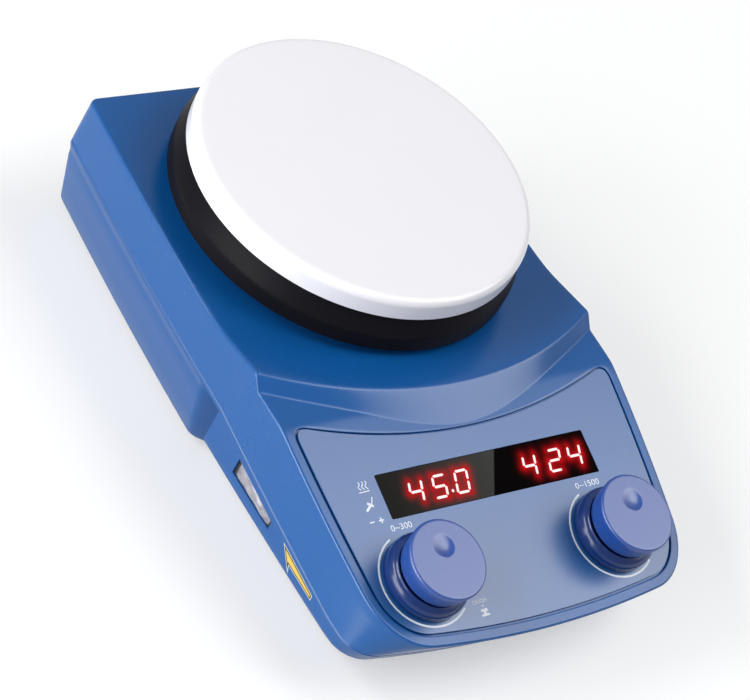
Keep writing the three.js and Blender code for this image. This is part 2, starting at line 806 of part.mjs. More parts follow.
{
  const frontOnly = block(-2 * widestHalfWidth, 2 * front, -overrun, 2 * widestHalfWidth, seamBend, 2 * skyHeight);
  const behindWall = block(
    -2 * widestHalfWidth,
    2 * front,
    -overrun,
    2 * widestHalfWidth,
    seamBend - wall,
    2 * skyHeight,
  );
  const outer = joined(gripSolid(0, footHeight), skirtSolid(0, footHeight).intersect(frontOnly));
  const inner = joined(gripSolid(wall, floorTop), skirtSolid(wall, floorTop).intersect(behindWall));
  const base = floorTop - floorThickness / 2;
  const pillars = pillarPlaces.map(([x, y]) => round(pillarRadius, base, seamAt(y) + overrun, x, y, 12));
  const shell = cut(joined(cut(outer, inner), ...pillars).intersect(outer), spaceAboveSeam(-seamGap));
  const posts = bracketPosts.map(([x, y]) => round(pillarRadius, base, bracketLow - seat, x, y, 12));
  const boardBosses = mainBossPlaces.map(([x, y]) => round(bossRadius, base, mainBoardLow - seat, x, y, 8));
  const feet = Object.values(footPlaces);
  const footBosses = feet.map(([x, y]) => round(footBossRadius, base, floorTop + footBossRise, x, y, 12));
  const footPockets = feet.map(([x, y]) =>
    round(footNubRadius + seat, footHeight - overrun, footHeight + footNubHeight + seat, x, y, 12),
  );
  const vents = Array.from({ length: ventCount }, (_, i) => {
    const x = (i - (ventCount - 1) / 2) * ventPitch;
    const middle = (mainBoardBack + mainBoardFront) / 2;
    return block(
      x - ventWidth / 2,
      middle - ventLength / 2,
      -overrun,
      x + ventWidth / 2,
      middle + ventLength / 2,
      floorTop + seat,
    );
  });
  const switchHole = loft(
    [-widestHalfWidth - sideDraft - overrun, -widestHalfWidth + wall + overrun].map((x) =>
      switchOutline(0).map(([y, z]) => new THREE.Vector3(x, y, z)),
    ),
    seenFromSide,
  );
  const whole = joined(shell, ...posts, ...boardBosses, ...footBosses);
  const tub = cut(whole, ...footPockets, ...vents, switchHole, rearWindow);
  piece('base_tub', tub, blueEnamel());
}

for (const [name, [x, y]] of Object.entries(footPlaces)) {
  const top = footHeight - seat;
  const profile = [
    [0, 0],
    [footRadius - seat, 0],
    [footRadius, seat],
    [footRadius, top],
    [footNubRadius, top],
    [footNubRadius, footHeight + footNubHeight],
    [0, footHeight + footNubHeight],
  ];
  piece(name, turned(profile, 16, x, y), charcoal());
}

// Heated plate, its ring, and the stack between them
const ringLow = neckTop + seat;
const shieldLow = ringLow + ringFlangeThickness + seat;
const insulationLow = shieldLow + shieldThickness + seat;
const heaterLow = insulationLow + insulationThickness + seat;
const plateLow = heaterLow + heaterThickness + seat;
const plateTop = plateLow + plateThickness;
const hot = new THREE.Group();
hot.position.set(0, plateCentre, 0);
stirrer.add(hot);

{
  const profile = [[0, plateLow], [plateRadius - seat, plateLow], [plateRadius, plateLow + seat]];
  const steps = 4;
  for (let i = 0; i <= steps; i += 1) {
    const angle = (i / steps) * (Math.PI / 2);
    profile.push([
      plateRadius - plateEdgeRound + plateEdgeRound * Math.cos(angle),
      plateTop - plateEdgeRound + plateEdgeRound * Math.sin(angle),
    ]);
  }
  profile.push([0, plateTop]);
  piece('top_plate', turned(profile, 60), whiteCeramic(), hot);
}

{
  const top = plateLow - seat;
  const shoulder = ringRadius - ringShoulder;
  const profile = [
    [ringRadius - ringFlangeWidth, ringLow],
    [ringRadius, ringLow],
    [ringRadius, ringLow + ringUpright],
    [shoulder, top],
    [shoulder - ringWall, top],
    [ringRadius - ringWall, ringLow + ringUpright - ringWall / 2],
    [ringRadius - ringWall, ringLow + ringFlangeThickness],
    [ringRadius - ringFlangeWidth, ringLow + ringFlangeThickness],
    [ringRadius - ringFlangeWidth, ringLow],
  ];
  piece('plate_skirt', turned(profile, 60), charcoal(), hot);
}

const postPlaces = [0, 1, 2, 3].map((i) => {
  const angle = ((i + 0.5) * Math.PI) / 2;
  return [(plateRadius - postInset) * Math.cos(angle), (plateRadius - postInset) * Math.sin(angle)];
});
postPlaces.forEach(([x, y], i) => {
  const profile = [
    [0, ringLow],
    [postCollarRadius, ringLow],
    [postCollarRadius, shieldLow - seat],
    [postRadius, shieldLow - seat],
    [postRadius, plateLow - seat],
    [0, plateLow - seat],
  ];
  piece(`plate_post_${i + 1}`, turned(profile, 8, x, y), steel(), hot);
});

{
  const postHoles = postPlaces.map(([x, y]) =>
    round(postRadius + seat, shieldLow - overrun, plateLow + overrun, x, y, 8),
  );
  const shield = round(stackRadius, shieldLow, shieldLow + shieldThickness, 0, 0, 30);
  const blanket = tube(sensorRadius + seat, stackRadius, insulationLow, insulationLow + insulationThickness, 0, 0, 30);
  const heater = tube(heaterHoleRadius, stackRadius, heaterLow, heaterLow + heaterThickness, 0, 0, 30);
  piece('heat_shield', cut(shield, ...postHoles), steel(), hot);
  piece('insulation_disc', cut(blanket, ...postHoles), paint(0xe9e6dc, 0.95, 0), hot);
  piece('heating_element', cut(heater, ...postHoles), paint(0x8a7d68, 0.7, 0.2), hot);
  piece('temperature_sensor', round(sensorRadius, insulationLow, plateLow - seat), steel(), hot);
}

// Magnetic drive
{
  const magnetLow = magnetTop - magnetHeight;
  const bar = prism(
    roundedRectangle(2 * carrierHalfLength, 2 * carrierHalfWidth, carrierHalfWidth - seat),
    carrierTop - carrierThickness,
    carrierTop,
  );
  const hub = round(hubRadius, hubBottom, carrierTop - carrierThickness / 2);
  const pockets = [-1, 1].map((side) =>
    round(magnetRadius + seat, magnetLow - seat, magnetTop, side * magnetReach, 0),
  );
  const bore = round(shaftRadius + seat, hubBottom - overrun, carrierTop + overrun, 0, 0, 16);
  const shaftLow = motorTop - motorHeight / 2;
  piece('magnet_carrier', cut(joined(bar, hub), ...pockets, bore), paint(0xb8bcc2, 0.4, 1), hot);
  piece('motor_shaft', round(shaftRadius, shaftLow, carrierTop, 0, 0, 20), steel(), hot);
  [-1, 1].forEach((side, i) => {
    const magnet = round(magnetRadius, magnetLow, magnetTop, side * magnetReach, 0);
    piece(`drive_magnet_${i + 1}`, magnet, paint(0x9fa3a8, 0.25, 1), hot);
  });
  const motorLow = motorTop - motorHeight;
  const edge = shaftRadius / 2;
  const motor = turned(
    [
      [0, motorLow],
      [motorRadius - edge, motorLow],
      [motorRadius, motorLow + edge],
      [motorRadius, motorTop - edge],
      [motorRadius - edge, motorTop],
      [motorBossRadius, motorTop],
      [motorBossRadius, motorTop + motorBossHeight],
      [0, motorTop + motorBossHeight],
    ],
    32,
  );
  const shaftHole = round(shaftRadius + seat, shaftLow - seat, motorTop + motorBossHeight + overrun, 0, 0, 16);
  piece('stirrer_motor', cut(motor, shaftHole), paint(0x3a3c40, 0.4, 0.8), hot);
  const bracketWidth = 2 * (motorRadius + bracketPostReach + bracketLap);
  const plate = prism(
    roundedRectangle(bracketWidth, 2 * (bracketPostSpread + bracketLap), pillarRadius),
    bracketLow,
    bracketLow + bracketThickness,
  );
  const hole = round(motorBossRadius + seat, bracketLow - overrun, bracketLow + overrun);
  piece('motor_bracket', cut(plate, hole), steel(), hot);
}

// Control panel: overlay sheet and lens
{
  const sheet = prism(overlayOutline(0), -overlayThickness, 0);
  const lensHole = block(
    -windowHalfWidth - seat,
    -windowTop - windowHeight - seat,
    -overrun,
    windowHalfWidth + seat,
    -windowTop + seat,
    overrun,
  );
  const bushingHoles = [leftKnobPlace, rightKnobPlace].map((x) =>
    round(bushingRadius + seat, -overrun, overrun, x, -knobPlaceDown, 24),
  );
  piece('panel_overlay', cut(sheet, lensHole, ...bushingHoles), paint(0x7d98cb, 0.35, 0), panel);
  const lens = block(
    -windowHalfWidth,
    -windowTop - windowHeight,
    -windowThickness,
    windowHalfWidth,
    -windowTop,
    0,
  );
  piece('display_window', lens, paint(0x241c20, 0.1, 0), panel);
}

// Display board and its two number modules
const ledTop = -windowThickness - seat;
const boardTop = ledTop - ledThickness - seat;
{
  const middle = -windowTop - windowHeight / 2;
  const outerEnd = windowHalfWidth - windowLedge - seat;
  for (const [name, low, high] of [
    ['left_led_module', -outerEnd, -ledHalfGap],
    ['right_led_module', ledHalfGap, outerEnd],
  ]) {
    const module = block(low, middle - ledHeight / 2, boardTop + seat, high, middle + ledHeight / 2, ledTop);
    piece(name, module, paint(0x2a2426, 0.5, 0), panel);
  }
  const board = block(
    -displayBoardHalfWidth,
    -displayBoardBottom,
    boardTop - boardThickness,
    displayBoardHalfWidth,
    -displayBoardTop,
    boardTop,
  );
  piece('display_board', board, circuitGreen(), panel);
}

// Knobs: collar, cap, encoder body, wiper and shaft
function knob(side, place) {
  const group = new THREE.Group();
  group.position.set(place, -knobPlaceDown, 0);
  panel.add(group);
  const collarTop = seat + collarHeight;
  const capLow = collarTop + knobGap;
  const capTop = capLow + knobHeight;
  const hubLow = capLow - knobHubDrop;
  const capInside = capTop - knobWall - seat;
  const bodyLow = boardTop + seat;
  const bodyTop = bodyLow + encoderHeight;
  const collar = turned(
    [
      [knobHubRadius + 2 * seat, seat],
      [collarRadius, seat],
      [collarRadius, collarTop - collarRound],
      [collarRadius - collarRound / 3, collarTop - collarRound / 3],
      [collarRadius - collarRound, collarTop],
      [knobHubRadius + 2 * seat, collarTop],
      [knobHubRadius + 2 * seat, seat],
    ],
    32,
  );
  piece(`${side}_knob_collar`, collar, knobBlue(), group);
  const shaftTop = capInside - seat;
  const cap = turned(
    [
      [0, shaftTop + seat],
      [encoderShaftRadius + seat, shaftTop + seat],
      [encoderShaftRadius + seat, hubLow],
      [knobHubRadius, hubLow],
      [knobHubRadius, capInside],
      [knobRadius - knobWall, capInside],
      [knobRadius - knobWall, capLow],
      [knobRadius - seat, capLow],
      [knobRadius, capLow + seat],
      [knobRadius, capTop - knobEdgeRound],
      [knobRadius - knobEdgeRound / 3, capTop - knobEdgeRound / 3],
      [knobRadius - knobEdgeRound, capTop],
      [0, capTop],
    ],
    32,
  );
  const ball = (dimpleRadius ** 2 + dimpleDepth ** 2) / (2 * dimpleDepth);
  const dimple = new THREE.SphereGeometry(ball, 16, 16);
  dimple.translate(0, dimplePlace, capTop + ball - dimpleDepth);
  piece(`${side}_knob`, cut(cap, solid(dimple)), knobBlue(), group);
  const half = encoderWidth / 2;
  const cavityLow = bodyLow + encoderShell;
  const cavityTop = cavityLow + wiperThickness + 2 * seat;
  const body = joined(
    block(-half, -half, bodyLow, half, half, bodyTop),
    round(bushingRadius, bodyTop - encoderShell, bushingProud, 0, 0, 16),
  );
  const hollow = joined(
    round(wiperRadius + seat, cavityLow, cavityTop, 0, 0, 20),
    round(encoderShaftRadius + seat, cavityLow, overrun, 0, 0, 16),
  );
  piece(`${side}_encoder`, cut(body, hollow), steel(), group);
  const wiperLow = cavityLow + seat;
  const wiper = tube(encoderShaftRadius + seat, wiperRadius, wiperLow, wiperLow + wiperThickness, 0, 0, 16);
  piece(`${side}_encoder_rotor`, wiper, brass(), group);
  const shaftLow = cavityLow + seat + knobTravel;
  piece(`${side}_encoder_shaft`, round(encoderShaftRadius, shaftLow, shaftTop, 0, 0, 20), steel(), group);
}
knob('left', leftKnobPlace);
knob('right', rightKnobPlace);

// Power switch in the left side: frame, rocker and clear boot
{
  const face = wall + switchBodyClear - skirtHalfWidth(switchPlace - switchBodyLength / 2);
  const middle = switchSill + rockerHeight / 2;
  const pocketHalf = rockerLength / 2 + 2 * seat;
  const frame = block(
    face,
    switchPlace - switchBodyLength / 2,
    middle - switchBodyHeight / 2,
    face + switchBodyDepth,
    switchPlace + switchBodyLength / 2,
    middle + switchBodyHeight / 2,
  );
  const pocket = block(
    face - overrun,
    switchPlace - pocketHalf,
    middle - rockerHeight / 2 - seat,
    face + rockerSunk + rockerDepth + seat,
    switchPlace + pocketHalf,
    middle + rockerHeight / 2 + seat,
  );
  piece('power_switch_body', cut(frame, pocket), blackPlastic());
  const reach = rockerLength / 2;
  const profile = [
    [-reach, 0],
    [0, -rockerDip],
    [reach, 0],
    [reach, -rockerDip - seat],
    [reach / 2, -rockerDepth + rockerDip],
    [-reach / 2, -rockerDepth + rockerDip],
    [-reach, -rockerDip - seat],
  ];
  const rocker = new THREE.Group();
  rocker.position.set(face + rockerSunk + rockerDip, switchPlace, middle);
  rocker.rotation.z = Math.PI / 2 - rockerTilt;
  const raised = profile.map(([x, y]) => [x, y + rockerDip]);
  piece('power_rocker', prism(raised, -rockerHeight / 2, rockerHeight / 2), blackPlastic(), rocker);
  stirrer.add(rocker);
  const crown = -skirtHalfWidth(switchPlace);
  const layer = (x, inset) => switchOutline(inset).map(([y, z]) => new THREE.Vector3(x, y, z));
  const dome = loft([layer(face - seat, seat), layer(crown, seat + bootTaper)], seenFromSide);
  const hollow = loft(
    [layer(face + seat, seat + bootWall), layer(crown + bootWall, seat + bootWall + bootTaper)],
    seenFromSide,
  );
  piece('switch_boot', cut(dome, hollow), paint(0xc9ccd2, 0.2, 0));
}

// Back: panel, mains inlet with fuse drawer, probe socket
{
  const faceLow = back - wall;
  const panelBack = faceLow - seat;
  const centre = rearWindowBottom + rearWindowHeight / 2;
  const flangeHeight = rearWindowHeight - 2 * seat - seat;
  const inletLow = centre - flangeHeight / 2;
  const drawerLow = inletLow + inletMargin;
  const socketLow = drawerLow + drawerHeight + 2 * seat + inletMargin;
  const bodyInset = (inletWidth - inletBodyWidth) / 2;
  const flangeTop = faceLow + flangeThickness;
  const sheet = block(
    -rearPanelHalfWidth,
    panelBack - rearPanelThickness,
    rearWindowBottom - rearPanelLap,
    rearPanelHalfWidth,
    panelBack,
    rearWindowBottom + rearWindowHeight + rearPanelLap,
  );
  const inletHole = block(
    inletPlace - inletBodyWidth / 2 - seat,
    panelBack - overrun,
    inletLow + bodyInset - seat,
    inletPlace + inletBodyWidth / 2 + seat,
    panelBack + overrun,
    inletLow + flangeHeight - bodyInset + seat,
  );
  const backwards = new THREE.Matrix4().makeRotationX(-Math.PI / 2);
  const probeAxis = backwards.clone().setPosition(probePlace, 0, centre);
  const probeHole = moved(
    round(probeBodyRadius + seat, panelBack - overrun, panelBack + overrun),
    probeAxis,
  );
  piece('rear_panel', cut(sheet, inletHole, probeHole), paint(0x2d2f33, 0.5, 0.3));

  const flange = block(
    inletPlace - inletWidth / 2,
    faceLow,
    inletLow,
    inletPlace + inletWidth / 2,
    flangeTop,
    inletLow + flangeHeight,
  );
  const body = block(
    inletPlace - inletBodyWidth / 2,
    flangeTop - inletDepth,
    inletLow + bodyInset,
    inletPlace + inletBodyWidth / 2,
    faceLow + seat,
    inletLow + flangeHeight - bodyInset,
  );
  const half = socketWidth / 2;
  const mouth = [
    [-half, 0],
    [half, 0],
    [half, socketHeight - socketChamfer],
    [half - socketChamfer, socketHeight],
    [-half + socketChamfer, socketHeight],
    [-half, socketHeight - socketChamfer],
  ];
  const socket = loft(
    [flangeTop + overrun, flangeTop - socketDepth].map((y) =>
      mouth.map(([x, z]) => new THREE.Vector3(inletPlace + x, y, socketLow + z)),
    ),
    (point) => new THREE.Vector2(point.x, point.z),
  );
  const slot = block(
    inletPlace - drawerWidth / 2 - seat,
    flangeTop - drawerDepth - seat,
    drawerLow,
    inletPlace + drawerWidth / 2 + seat,
    flangeTop + overrun,
    drawerLow + drawerHeight + 2 * seat,
  );
  piece('mains_inlet', cut(joined(flange, body), socket, slot), blackPlastic());

  const pinRow = socketLow + socketHeight / 2;
  const pinStart = flangeTop - socketDepth + seat;
  for (const [name, x, z] of [
    ['inlet_pin_live', -pinSpacing, pinRow],
    ['inlet_pin_neutral', pinSpacing, pinRow],
    ['inlet_pin_earth', 0, pinRow + pinStagger],
  ]) {
    const pin = block(
      inletPlace + x - pinWidth / 2,
      pinStart,
      z - pinHeight / 2,
      inletPlace + x + pinWidth / 2,
      pinStart + pinLength,
      z + pinHeight / 2,
    );
    piece(name, pin, steel());
  }

  const trayBottom = drawerLow + seat;
  const tray = block(
    inletPlace - drawerWidth / 2,
    flangeTop - drawerDepth,
    trayBottom,
    inletPlace + drawerWidth / 2,
    flangeTop,
    trayBottom + drawerHeight,
  );
  const well = block(
    inletPlace - drawerWidth / 2 + drawerWall,
    flangeTop - drawerDepth + drawerWall,
    trayBottom + drawerWall,
    inletPlace + drawerWidth / 2 - drawerWall,
    flangeTop - drawerFront,
    trayBottom + drawerHeight + overrun,
  );
  const fingerGrip = block(
    inletPlace - drawerWidth / 6,
    flangeTop - drawerFront / 2,
    trayBottom - overrun,
    inletPlace + drawerWidth / 6,
    flangeTop + overrun,
    trayBottom + drawerHeight / 3,
  );
  piece('fuse_drawer', cut(tray, well, fingerGrip), blackPlastic());
  const fuseAxis = new THREE.Matrix4()
    .makeRotationY(Math.PI / 2)
    .setPosition(
      inletPlace,
      flangeTop - drawerDepth + drawerWall + seat + fuseRadius,
      trayBottom + drawerWall + seat + fuseRadius,
    );
  const tubeOfGlass = round(fuseRadius, -fuseLength / 2, fuseLength / 2, 0, 0, 16);
  piece('fuse', moved(tubeOfGlass, fuseAxis), paint(0xd7dadd, 0.2, 0));

  const probeProfile = [
    [0, flangeTop - probeBoreDepth],
    [probeBoreRadius, flangeTop - probeBoreDepth],
    [probeBoreRadius, flangeTop],
    [probeFlangeRadius, flangeTop],
    [probeFlangeRadius, faceLow],
    [probeBodyRadius, faceLow],
    [probeBodyRadius, flangeTop - probeBodyDepth],
    [0, flangeTop - probeBodyDepth],
  ];
  piece('probe_socket', moved(turned(probeProfile, 24), probeAxis), steel());
}

// Threaded bush for a support rod
{
  const flangeLow = deckHeight + seat;
  const flangeTop = flangeLow + rodFlangeThickness;
  const profile = [
    [0, flangeTop - rodBoreDepth],
    [rodBoreRadius, flangeTop - rodBoreDepth],
    [rodBoreRadius, flangeTop],
    [rodFlangeRadius, flangeTop],
    [rodFlangeRadius, flangeLow],
    [rodBushRadius, flangeLow],
    [rodBushRadius, flangeTop - rodBushLength],
    [0, flangeTop - rodBushLength],
  ];
  piece('rod_bush', turned(profile, 20, ...rodPlace), steel());
}

// Main board with transformer, relay, capacitor and heat sink
{
  const boardTopHeight = mainBoardLow + boardThickness;
  const rest = boardTopHeight + seat;
  const board = block(
    -mainBoardHalfWidth,
    mainBoardFront,
    mainBoardLow,
    mainBoardHalfWidth,
    mainBoardBack,
    boardTopHeight,
  );
  piece('main_board', board, circuitGreen());
  const coreX = -mainBoardHalfWidth / 2;
  const coreY = mainBoardBack - transformerLength / 2 - coilSide - bossInset;
  const core = joined(
    block(
      coreX - transformerWidth / 2,
      coreY - transformerLength / 2 + coilSide,
      rest,
      coreX + transformerWidth / 2,
      coreY + transformerLength / 2 - coilSide,
      rest + transformerHeight,
    ),
    block(
      coreX - transformerWidth / 2 + 2 * coilSide,
      coreY - transformerLength / 2,
      rest + coilSide,
      coreX + transformerWidth / 2 - 2 * coilSide,
      coreY + transformerLength / 2,
      rest + transformerHeight - coilSide,
    ),
  );
  piece('transformer', core, paint(0x8f7a3a, 0.6, 0.2));
  const relayX = mainBoardHalfWidth / 3;
  const relayY = mainBoardFront + relayLength / 2 + bossInset;
  const relay = prism(roundedRectangle(relayWidth, relayLength, seat, 1), rest, rest + relayHeight);
  piece('relay', moved(relay, new THREE.Matrix4().makeTranslation(relayX, relayY, 0)), paint(0x2f5aa0, 0.5, 0));
  const canY = mainBoardBack - capacitorRadius - bossInset;
  const rim = capacitorRadius / 8;
  const can = turned(
    [
      [0, rest],
      [capacitorRadius, rest],
      [capacitorRadius, rest + capacitorHeight - rim],
      [capacitorRadius - rim, rest + capacitorHeight],
      [0, rest + capacitorHeight],
    ],
    32,
    mainBoardHalfWidth / 4,
    canY,
  );
  piece('smoothing_capacitor', can, paint(0x24344f, 0.4, 0));
  const pitch = sinkLength / (finCount - 1 + finShare);
  const sinkX = mainBoardHalfWidth - bossInset - sinkWidth;
  const sinkY = mainBoardBack - bossInset - sinkLength;
  const web = block(sinkX, sinkY, rest, sinkX + sinkWidth / 3, sinkY + sinkLength, rest + sinkHeight);
  const fins = Array.from({ length: finCount }, (_, i) =>
    block(
      sinkX,
      sinkY + i * pitch,
      rest,
      sinkX + sinkWidth,
      sinkY + i * pitch + finShare * pitch,
      rest + sinkHeight,
    ),
  );
  piece('heat_sink', joined(web, ...fins), paint(0x4a4d52, 0.4, 1));
}

export default stirrer;
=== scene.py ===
import math

import bmesh
import bpy
import numpy as np
from mathutils import Euler, Matrix, Vector


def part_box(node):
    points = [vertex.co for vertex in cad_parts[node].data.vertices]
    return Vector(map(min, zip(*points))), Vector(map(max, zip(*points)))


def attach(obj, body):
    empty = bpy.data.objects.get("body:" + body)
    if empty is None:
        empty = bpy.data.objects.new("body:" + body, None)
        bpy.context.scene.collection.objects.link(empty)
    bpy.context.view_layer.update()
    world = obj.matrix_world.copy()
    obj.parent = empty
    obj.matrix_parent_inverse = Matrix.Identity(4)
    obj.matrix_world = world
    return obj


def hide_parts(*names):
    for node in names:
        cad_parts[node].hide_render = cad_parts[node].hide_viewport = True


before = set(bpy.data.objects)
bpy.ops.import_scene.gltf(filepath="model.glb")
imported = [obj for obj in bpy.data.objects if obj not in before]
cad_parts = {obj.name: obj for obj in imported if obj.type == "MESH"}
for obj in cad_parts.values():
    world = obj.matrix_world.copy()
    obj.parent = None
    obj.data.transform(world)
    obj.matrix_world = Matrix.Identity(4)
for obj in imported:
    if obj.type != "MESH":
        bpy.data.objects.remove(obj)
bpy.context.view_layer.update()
scene = bpy.context.scene
scene.view_settings.view_transform = "Standard"

# Camera: a long lens high over the front left corner, looking down and rolled to its left as in the photo.
# Its angles are in degrees about x, y and z.
lens = bpy.data.cameras.new("camera")
lens.sensor_width = 36.0
lens.lens = 135.95
lens.shift_x = 0.0119
lens.shift_y = 0.0733
camera = bpy.data.objects.new("camera", lens)
camera_place = Vector((-0.6364, -0.4695, 0.7346))
camera_turn = Euler([math.radians(angle) for angle in (43.0602, -22.5293, -31.5315)])
camera.matrix_world = Matrix.LocRotScale(camera_place, camera_turn, None)
scene.collection.objects.link(camera)
scene.camera = camera


# Floor: one sheet of matt white paper under the stirrer, which keeps its soft shadow. The camera, mirror-like
# finishes and clear pieces see it as plain white.
def new_material(name, settings):
    """A material, its node tree and its surface shader, with numbers and colours set on the shader's own
    sockets."""
    made = bpy.data.materials.new(name)
    made.use_nodes = True
    surface = made.node_tree.nodes["Principled BSDF"]
    for socket, value in settings.items():
        surface.inputs[socket].default_value = value
    return made, made.node_tree, surface


def seen_directly(tree):
    """A socket that is 1 for the camera's rays and for mirrored and refracted ones, and 0 for rays of
    light."""
    rays = tree.nodes.new("ShaderNodeLightPath")
    seen = rays.outputs["Is Camera Ray"]
    for kind in ("Is Glossy Ray", "Is Transmission Ray"):
        either = tree.nodes.new("ShaderNodeMath")
        either.operation = "MAXIMUM"
        tree.links.new(seen, either.inputs[0])
        tree.links.new(rays.outputs[kind], either.inputs[1])
        seen = either.outputs[0]
    return seen


def toned(tree, share, low, high, socket):
    """Links a socket to a colour between two tones by a share. The Mix node's colours are its sockets 6 and
    7."""
    tone = tree.nodes.new("ShaderNodeMix")
    tone.data_type = "RGBA"
    tone.inputs[6].default_value = (*low, 1)
    tone.inputs[7].default_value = (*high, 1)
    tree.links.new(share, tone.inputs["Factor"])
    tree.links.new(tone.outputs[2], socket)


floor_half = 6.0
floor_mesh = bpy.data.meshes.new("floor")
floor_corners = [(-floor_half, -floor_half, 0), (floor_half, -floor_half, 0), (floor_half, floor_half, 0),
                 (-floor_half, floor_half, 0)]
floor_mesh.from_pydata(floor_corners, [], [(0, 1, 2, 3)])
floor = bpy.data.objects.new("floor", floor_mesh)
scene.collection.objects.link(floor)
paper, paper_tree, paper_surface = new_material("floor_paper", {"Roughness": 0.9, "Specular IOR Level": 0.1,
                                                                "Emission Strength": 1.0})
paper_seen = seen_directly(paper_tree)
for socket, unseen, seen in (("Base Color", 0.42, 0.60), ("Emission Color", 0.0, 0.42)):
    toned(paper_tree, paper_seen, [unseen] * 3, [seen] * 3, paper_surface.inputs[socket])
floor_mesh.materials.append(paper)


# Studio light: a white tent all round, a large soft box above the right side that the panel mirrors, one at
# the left for the side wall, and a narrow one at the rear left that draws a light line along the long edges.
tent = bpy.data.worlds.new("white_tent")
tent.use_nodes = True
scene.world = tent
tent_nodes, tent_links = tent.node_tree.nodes, tent.node_tree.links
tent_mix = tent_nodes.new("ShaderNodeMixShader")
tent_links.new(seen_directly(tent.node_tree), tent_mix.inputs["Fac"])
tent_shades = ((1, tent_nodes["Background"], (0.94, 0.97, 1.0, 1), 0.17),
               (2, tent_nodes.new("ShaderNodeBackground"), (1, 1, 1, 1), 0.5))
for number, shade, colour, strength in tent_shades:
    shade.inputs["Color"].default_value = colour
    shade.inputs["Strength"].default_value = strength
    tent_links.new(shade.outputs[0], tent_mix.inputs[number])
tent_links.new(tent_mix.outputs[0], tent_nodes["World Output"].inputs["Surface"])


def soft_box(name, place, aim, width, height, watts):
    """A rectangular lamp at a place in metres, turned to face a point."""
    lamp = bpy.data.lights.new(name, "AREA")
    lamp.shape = "RECTANGLE"
    lamp.size = width
    lamp.size_y = height
    lamp.energy = watts
    holder = bpy.data.objects.new(name, lamp)
    away = Vector(place) - Vector(aim)
    holder.matrix_world = Matrix.LocRotScale(Vector(place), away.to_track_quat("Z", "Y"), None)
    scene.collection.objects.link(holder)


soft_box("soft_box_right", (1.0, -0.48, 1.42), (0, -0.08, 0.05), 1.1, 1.5, 22)
soft_box("soft_box_left", (-1.5, -0.05, 0.45), (-0.08, 0, 0.03), 1.2, 0.9, 25)
soft_box("edge_light", (-0.93, 0.42, 0.84), (-0.05, 0, 0.05), 0.75, 0.2, 6)


# Upper housing: one thin shell of cast metal with deck, neck, wave crest, label recess and sloping panel,
# enamelled in a glossy blue. It stands on the lower shell and is screwed to it from below.
def placed(low_high):
    """A frame box's two corners in millimetres."""
    return [np.array(corner) * 1000 for corner in low_high]


plate_low, plate_high = placed(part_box("top_plate"))
plate_middle = (plate_low + plate_high) / 2
plate_radius = (plate_high[0] - plate_low[0]) / 2
back = placed(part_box("upper_housing"))[1][1]
front = -back
widest_half = plate_radius + 10.7
panel_length = 87.0
panel_top = front + panel_length
widest_place = panel_top + 25.0
rear_taper, edge_front_taper, skirt_front_taper = 5.5, 8.8, 3.0
skirt_overhang = 1.39
deck_height = 57.1
panel_slope = math.radians(13.5)
panel_bend_soft = 1.2
panel_bend_behind = 2.5
crest_rise = 5.3
crest_middle = panel_top + 4.3
crest_radius = 160.0
crest_round = 2.4
ramp_width = 26.0
ramp_start_soft = 5.0
ramp_rows_reach = 12.0
band_reach = 8.5
band_least = 3.2
band_side_slope = 0.53
band_foot_round = 16.8
band_foot_fillet = 2.2
foot_rows_reach = 5.0
top_edge_round = 1.1
rear_corner = 4.0
panel_corner = 20.0
skirt_corner = 10.0
seam_height = 37.5
seam_front = 26.0
seam_bend = panel_top + 29.5
seam_low_end = front + 30.5
seam_gap = 0.3
front_bow = 7.5
front_lean = 8.8
skirt_foot = 20.0
neck_radius = plate_radius - 5.5
throat_radius = plate_radius - 25.5
neck_top = deck_height + 4.1
neck_fillet = 1.5
throat_deep = 9.0
shell_wall = 2.5
rear_window_half = 55.0
rear_window_top = 44.4
arc_pull = 0.5523


def drawn_in(half_width, front_taper, y):
    """Half width less a taper times the square of how far y lies from the widest place to an end."""
    share = np.where(y > widest_place, (y - widest_place) / (back - widest_place),
                     (widest_place - y) / (widest_place - front))
    return half_width - np.where(y > widest_place, rear_taper, front_taper) * share ** 2


def edge_half(y):
    """Half width of the housing at its upper edge."""
    return drawn_in(widest_half, edge_front_taper, y)


def skirt_half(y):
    """Half width of the housing at the foot of its skirt."""
    return drawn_in(widest_half + skirt_overhang, skirt_front_taper, y)


def soft_positive(value, soft):
    """Zero and then the value, with a round turn: half of the value plus the root of its square plus
    soft's."""
    return (value + np.sqrt(value ** 2 + soft ** 2)) / 2


def surface_height(y):
    """The panel's slope, carried a little further back and then level."""
    ahead = soft_positive(panel_top + panel_bend_behind - y, panel_bend_soft)
    return deck_height + math.tan(panel_slope) * (panel_bend_behind - ahead)


def seam_at(y):
    """Level behind the bend, a straight fall beside the panel, level again round the front."""
    share = np.clip((seam_bend - y) / (seam_bend - seam_low_end), 0, 1)
    return seam_height + (seam_front - seam_height) * share


def crest_at(x):
    """The crest's place: an arc in plan that falls back to both sides."""
    return crest_middle + crest_radius - np.sqrt(crest_radius ** 2 - x ** 2)


def foot_at(x):
    """The place of the band's foot: a hyperbola in plan that runs into straight lines to both sides."""
    wave = np.sqrt((band_side_slope * x) ** 2 + band_foot_round ** 2) - band_foot_round
    return np.minimum(panel_top - band_reach + wave, crest_at(x) - band_least)


def deck_and_ramp(x, y):
    """Deck height, plus the ramp's straight rise towards the crest."""
    rise = crest_rise / ramp_width
    return deck_height + rise * soft_positive(crest_at(x) + ramp_width - y, ramp_start_soft)


def unit(vectors):
    """Vectors divided by their lengths."""
    return vectors / np.linalg.norm(vectors, axis=-1, keepdims=True)


